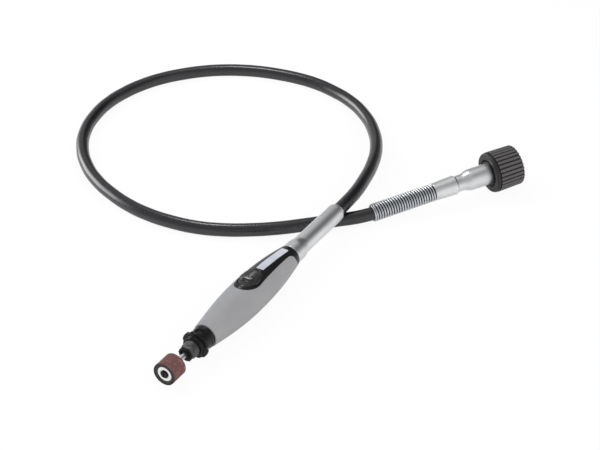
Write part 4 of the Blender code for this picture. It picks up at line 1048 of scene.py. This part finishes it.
def makeCouplingTube(s):
    profile = [
        (s.seat, s.seatRadius, 0.3), (s.seat - s.seatWall, s.seatRadius, 0.2),
        (s.seat - s.seatWall, s.barrel, 0.2),
        (s.grooveFront, s.barrel, 0.1), (s.grooveFront, s.barrel - s.grooveDepth, 0.0),
        (s.grooveRear, s.barrel - s.grooveDepth, 0.0), (s.grooveRear, s.barrel, 0.1),
        (s.coneEnd, s.barrel, 1.6), (s.coneStart, s.neck, 1.4),
        (s.end + 0.9 * mm, s.neck, 0.4), (s.end, s.radius, 0.3),
        (s.rear, s.mouth, 0.4), (s.rear, s.bore, 0.15),
        (s.stop, s.bore, 0.0), (s.stop, s.passage, 0.0), (s.cavityRear, s.passage, 0.0),
        (s.cavityRear, s.cavity, 0.0), (s.seat, s.cavity, 0.3),
    ]

    def hammered(station, radius, angle):  # crimped tube with shallow tool marks
        if radius < s.neck - 0.3 * mm:
            return radius
        near = exp(-((station - s.dentsAt) / s.dentsReach) ** 2)
        dents = cos(4 * angle + 0.6) * s.dentDepth * near
        wander = s.oval * sin(3 * angle + 260 * station)
        return radius + dents + wander + 0.75 * s.oval * sin(5 * angle - 410 * station)

    turnedPiece("couplingTube", eased(profile, 6), 144, zinc, "tool_body", "coupling_ferrule", "zinc_plate",
                hammered, 0.6, couplingFrame)


ribbedSettings = settings({
    "radius": 12.7, "mouthRadius": 12.4, "rear": 80.8, "front": 99.7, "lip": 11.5,
    "shoulder": 1.9, "groove": 0.6, "grooveDepth": 0.8,
    "recess": 8.6, "recessDepth": 1.3, "hole": 6.9, "webFront": 83.7, "bore": 9.5,
    "flute": 0.7, "thread": 2.1167, "threadDepth": 0.45,
}, ribs=30)


def makeCouplingNut(s):
    ribRear = s.rear + s.shoulder + s.groove
    collar = s.radius - 0.15 * mm
    profile = [
        (s.front, s.mouthRadius, 0.9), (ribRear, s.radius, 0.2),
        (ribRear, s.radius - s.grooveDepth, 0.05),
        (ribRear - s.groove, s.radius - s.grooveDepth, 0.05),
        (ribRear - s.groove, collar, 0.15),
    ]
    steps = 14
    for i in range(1, steps + 1):
        turn = pi / 2 * i / steps
        station = s.rear + s.shoulder * (1 - sin(turn))
        profile.append((station, collar - (collar - s.lip) * (1 - cos(turn)), 0.0))
    floor = s.rear + s.recessDepth
    profile += [
        (s.rear, s.recess, 0.25), (floor, s.recess - 0.3 * mm, 0.2),
        (floor, s.hole, 0.2), (s.webFront, s.hole, 0.2),
        (s.webFront, s.bore, 0.2), (s.front, s.bore, 0.8),
    ]

    def ribbed(station, radius, angle):
        if radius > s.bore + 1.2 * mm and station > ribRear + 0.02 * mm:
            off = abs((angle * s.ribs / (2 * pi)) % 1.0 - 0.5)
            run = smoothStep(station, ribRear + 0.02 * mm, ribRear + 0.4 * mm)
            run *= smoothStep(radius, s.bore + 1.2 * mm, s.mouthRadius - 0.7 * mm)
            return radius - s.flute * (1 - smoothStep(off, 0.08, 0.20)) * run
        if abs(radius - s.bore) < 0.01 * mm and s.webFront + 0.8 * mm < station < s.front - 0.8 * mm:
            turn = (station / s.thread - angle / (2 * pi)) % 1.0
            return radius + s.threadDepth * abs(turn - 0.5)
        return radius

    sides = 14 * s.ribs
    turnedPiece("ribbedNut", eased(profile), sides, nutBlack, "coupling_nut", "coupling_nut", "black_plastic",
                ribbed, 0.28, couplingFrame, sharpness=50.0)


driverSettings = settings({
    "rear": 66.1, "radius": 2.4, "collarRear": 82.5, "collar": 3.8, "collarFront": 83.7,
    "journalFront": 86.45, "front": 96.0, "square": 3.4,
})


def makeDriver(s):
    half = s.square / 2
    corner = half * sqrt(2) * 0.93
    profile = [
        (s.front, 0.0, 0.0), (s.front, corner, 0.5), (s.journalFront, corner, 0.0),
        (s.journalFront, s.radius, 0.3), (s.collarFront, s.radius, 0.1),
        (s.collarFront, s.collar, 0.2), (s.collarRear, s.collar, 0.2),
        (s.collarRear, s.radius, 0.1), (s.rear, s.radius, 0.3), (s.rear, 0.0, 0.0),
    ]

    def squared(station, radius, angle):
        if station < s.journalFront + 0.05 * mm or radius < 1e-6:
            return radius
        side = half / max(abs(cos(angle)), abs(sin(angle)))
        return min(radius, side * radius / corner if station > s.front - 0.5 * mm else side)

    turnedPiece("driverSquare", eased(profile), 96, ground, "driver", "driver_shaft", "ground_steel",
                squared, 0.5, couplingFrame, sharpness=30.0)


makeFerrule(ferruleSettings, bodySettings)
makeSpring(springSettings)
makeCouplingTube(tubeSettings)
makeCouplingNut(ribbedSettings)
makeDriver(driverSettings)
print("ferrules, spring and coupling made")


# pieces kept from the model, in their finishes; the collet's dark one is partly painted shade

keptFinishes = {
    "felt_seal": felt, "preload_washer": ground, "bearing_retainer": blackened, "spindle": ground,
    # the collet's dark finish is partly painted shade in the nut's mouth
    "spindle_clip": blackened, "lock_sleeve": blackened, "lock_pin": ground, "collet": darkOxideAndShade,
    "core_tip": ground, "core_bush": bronze, "nut_ring": darkOxideAndShade, "casing_liner": zinc,
    "drive_core": ground,
}
for name, node in frame["nodes"].items():
    if "_race" in name or "_ball" in name:
        keptFinishes[name] = coil if "_ball" in name else ground
for name, looks in keptFinishes.items():
    mesh = frame["nodes"][name].data
    mesh.materials.clear()
    mesh.materials.append(looks)
print("kept pieces finished")


# floor, world and lamps

studioSettings = named({
    "floor": (0.90, 0.90, 0.90),
    "whiteShare": 0.93,  # of the floor that shows as plain white to the camera
    "mirroredShare": 0.3,  # and in reflections
    "worldLight": 0.62,
    "horizon": 0.88, "sky": 0.50, "darkest": 0.04,  # seen in reflections
    "patches": [  # direction, cosine at the edge, cosine where it is full, level added
        ((-0.55, 0.48, 0.66), 0.75, 0.95, -0.26),
        ((-0.35, -0.05, 0.94), 0.88, 0.97, 0.32),
        ((0.10, -0.98, 0.15), 0.87, 0.965, 5.5),
        ((0.15, 0.93, 0.33), 0.85, 0.97, 0.20),
        ((-1.0, 0.0, 0.25), 0.80, 0.92, -0.50),
    ],
    "lampsAim": (0.0, -0.05, 0.01),
    "lamps": [  # name, place, size, watts, colour, seen in reflections
        ("leftBox", (0.20, -0.75, 0.55), (0.70, 0.50), 3.2, (0.86, 0.92, 1.0), False),
        ("rightBox", (0.05, 0.80, 0.50), (0.80, 0.45), 3.9, (1.0, 0.985, 0.96), False),
        ("frontBox", (0.95, 0.05, 0.65), (0.40, 0.40), 1.8, (1.0, 1.0, 1.0), False),
        ("topBox", (-0.20, -0.31, 0.55), (0.14, 0.14), 0.65, (0.97, 0.98, 1.0), True),
    ],
})


def rayKinds(tree):
    path = tree.nodes.new("ShaderNodeLightPath")
    kinds = ("Is Camera Ray", "Is Glossy Ray", "Is Transmission Ray")
    return [Signal(tree, path.outputs[kind]) for kind in kinds]


def makeStudio(s):
    shape = bmesh.new()
    bmesh.ops.create_grid(shape, x_segments=1, y_segments=1, size=6.0)
    floor = bpy.data.objects.new("floor", fromShape("floor", shape))
    floor.location = (0.0, 0.0, -0.4 * mm)
    scene.collection.objects.link(floor)
    white = Finish("floorWhite", s.floor, 0.85)
    white.set(Specular_IOR_Level=0.2)
    glow = white.node("ShaderNodeEmission", Color=(1.0, 1.0, 1.0), Strength=1.0)
    camera, glossy, through = rayKinds(white.tree)
    share = camera * s.whiteShare + glossy.maths("MAXIMUM", through) * s.mirroredShare
    mixed = white.node("ShaderNodeMixShader", Fac=share)
    mixer = mixed.socket.node
    white.tree.links.new(white.shader.outputs[0], mixer.inputs[1])
    white.tree.links.new(glow.socket, mixer.inputs[2])
    white.tree.links.new(mixed.socket, white.tree.nodes["Material Output"].inputs["Surface"])
    floor.data.materials.append(white.material)

    world = bpy.data.worlds.new("studio")
    world.use_nodes = True
    scene.world = world
    tree = world.node_tree
    background = tree.nodes["Background"]
    spot = tree.nodes.new("ShaderNodeTexCoord")
    split = tree.nodes.new("ShaderNodeSeparateXYZ")
    tree.links.new(spot.outputs["Generated"], split.inputs[0])
    x, y, z = [Signal(tree, output) for output in split.outputs]
    reflected = s.sky + (s.horizon - s.sky) * z.ramp(0.50, 0.10) * y.ramp(-1.0, 0.1)
    for towards, outer, inner, level in s.patches:
        aim = Vector(towards).normalized()
        reflected = reflected + level * (x * aim.x + y * aim.y + z * aim.z).ramp(outer, inner)
    reflected = reflected.maths("MAXIMUM", s.darkest)
    camera, glossy, through = rayKinds(tree)
    level = s.worldLight + (reflected - s.worldLight) * glossy.maths("MAXIMUM", through)
    level = level + (1 - level) * camera
    plug(tree, background.inputs["Strength"], level)
    background.inputs["Color"].default_value = (1.0, 1.0, 1.0, 1.0)

    for name, place, size, watts, color, mirrored in s.lamps:
        data = bpy.data.lights.new(name, "AREA")
        data.shape = "RECTANGLE"
        data.size, data.size_y = size
        data.energy = watts
        data.color = color
        lamp = bpy.data.objects.new(name, data)
        lamp.location = place
        lamp.visible_glossy = mirrored
        aim = Vector(s.lampsAim) - Vector(place)
        lamp.rotation_euler = aim.to_track_quat("-Z", "Y").to_euler()
        scene.collection.objects.link(lamp)


makeStudio(studioSettings)
scene.view_settings.view_transform = "Standard"
print("studio made")
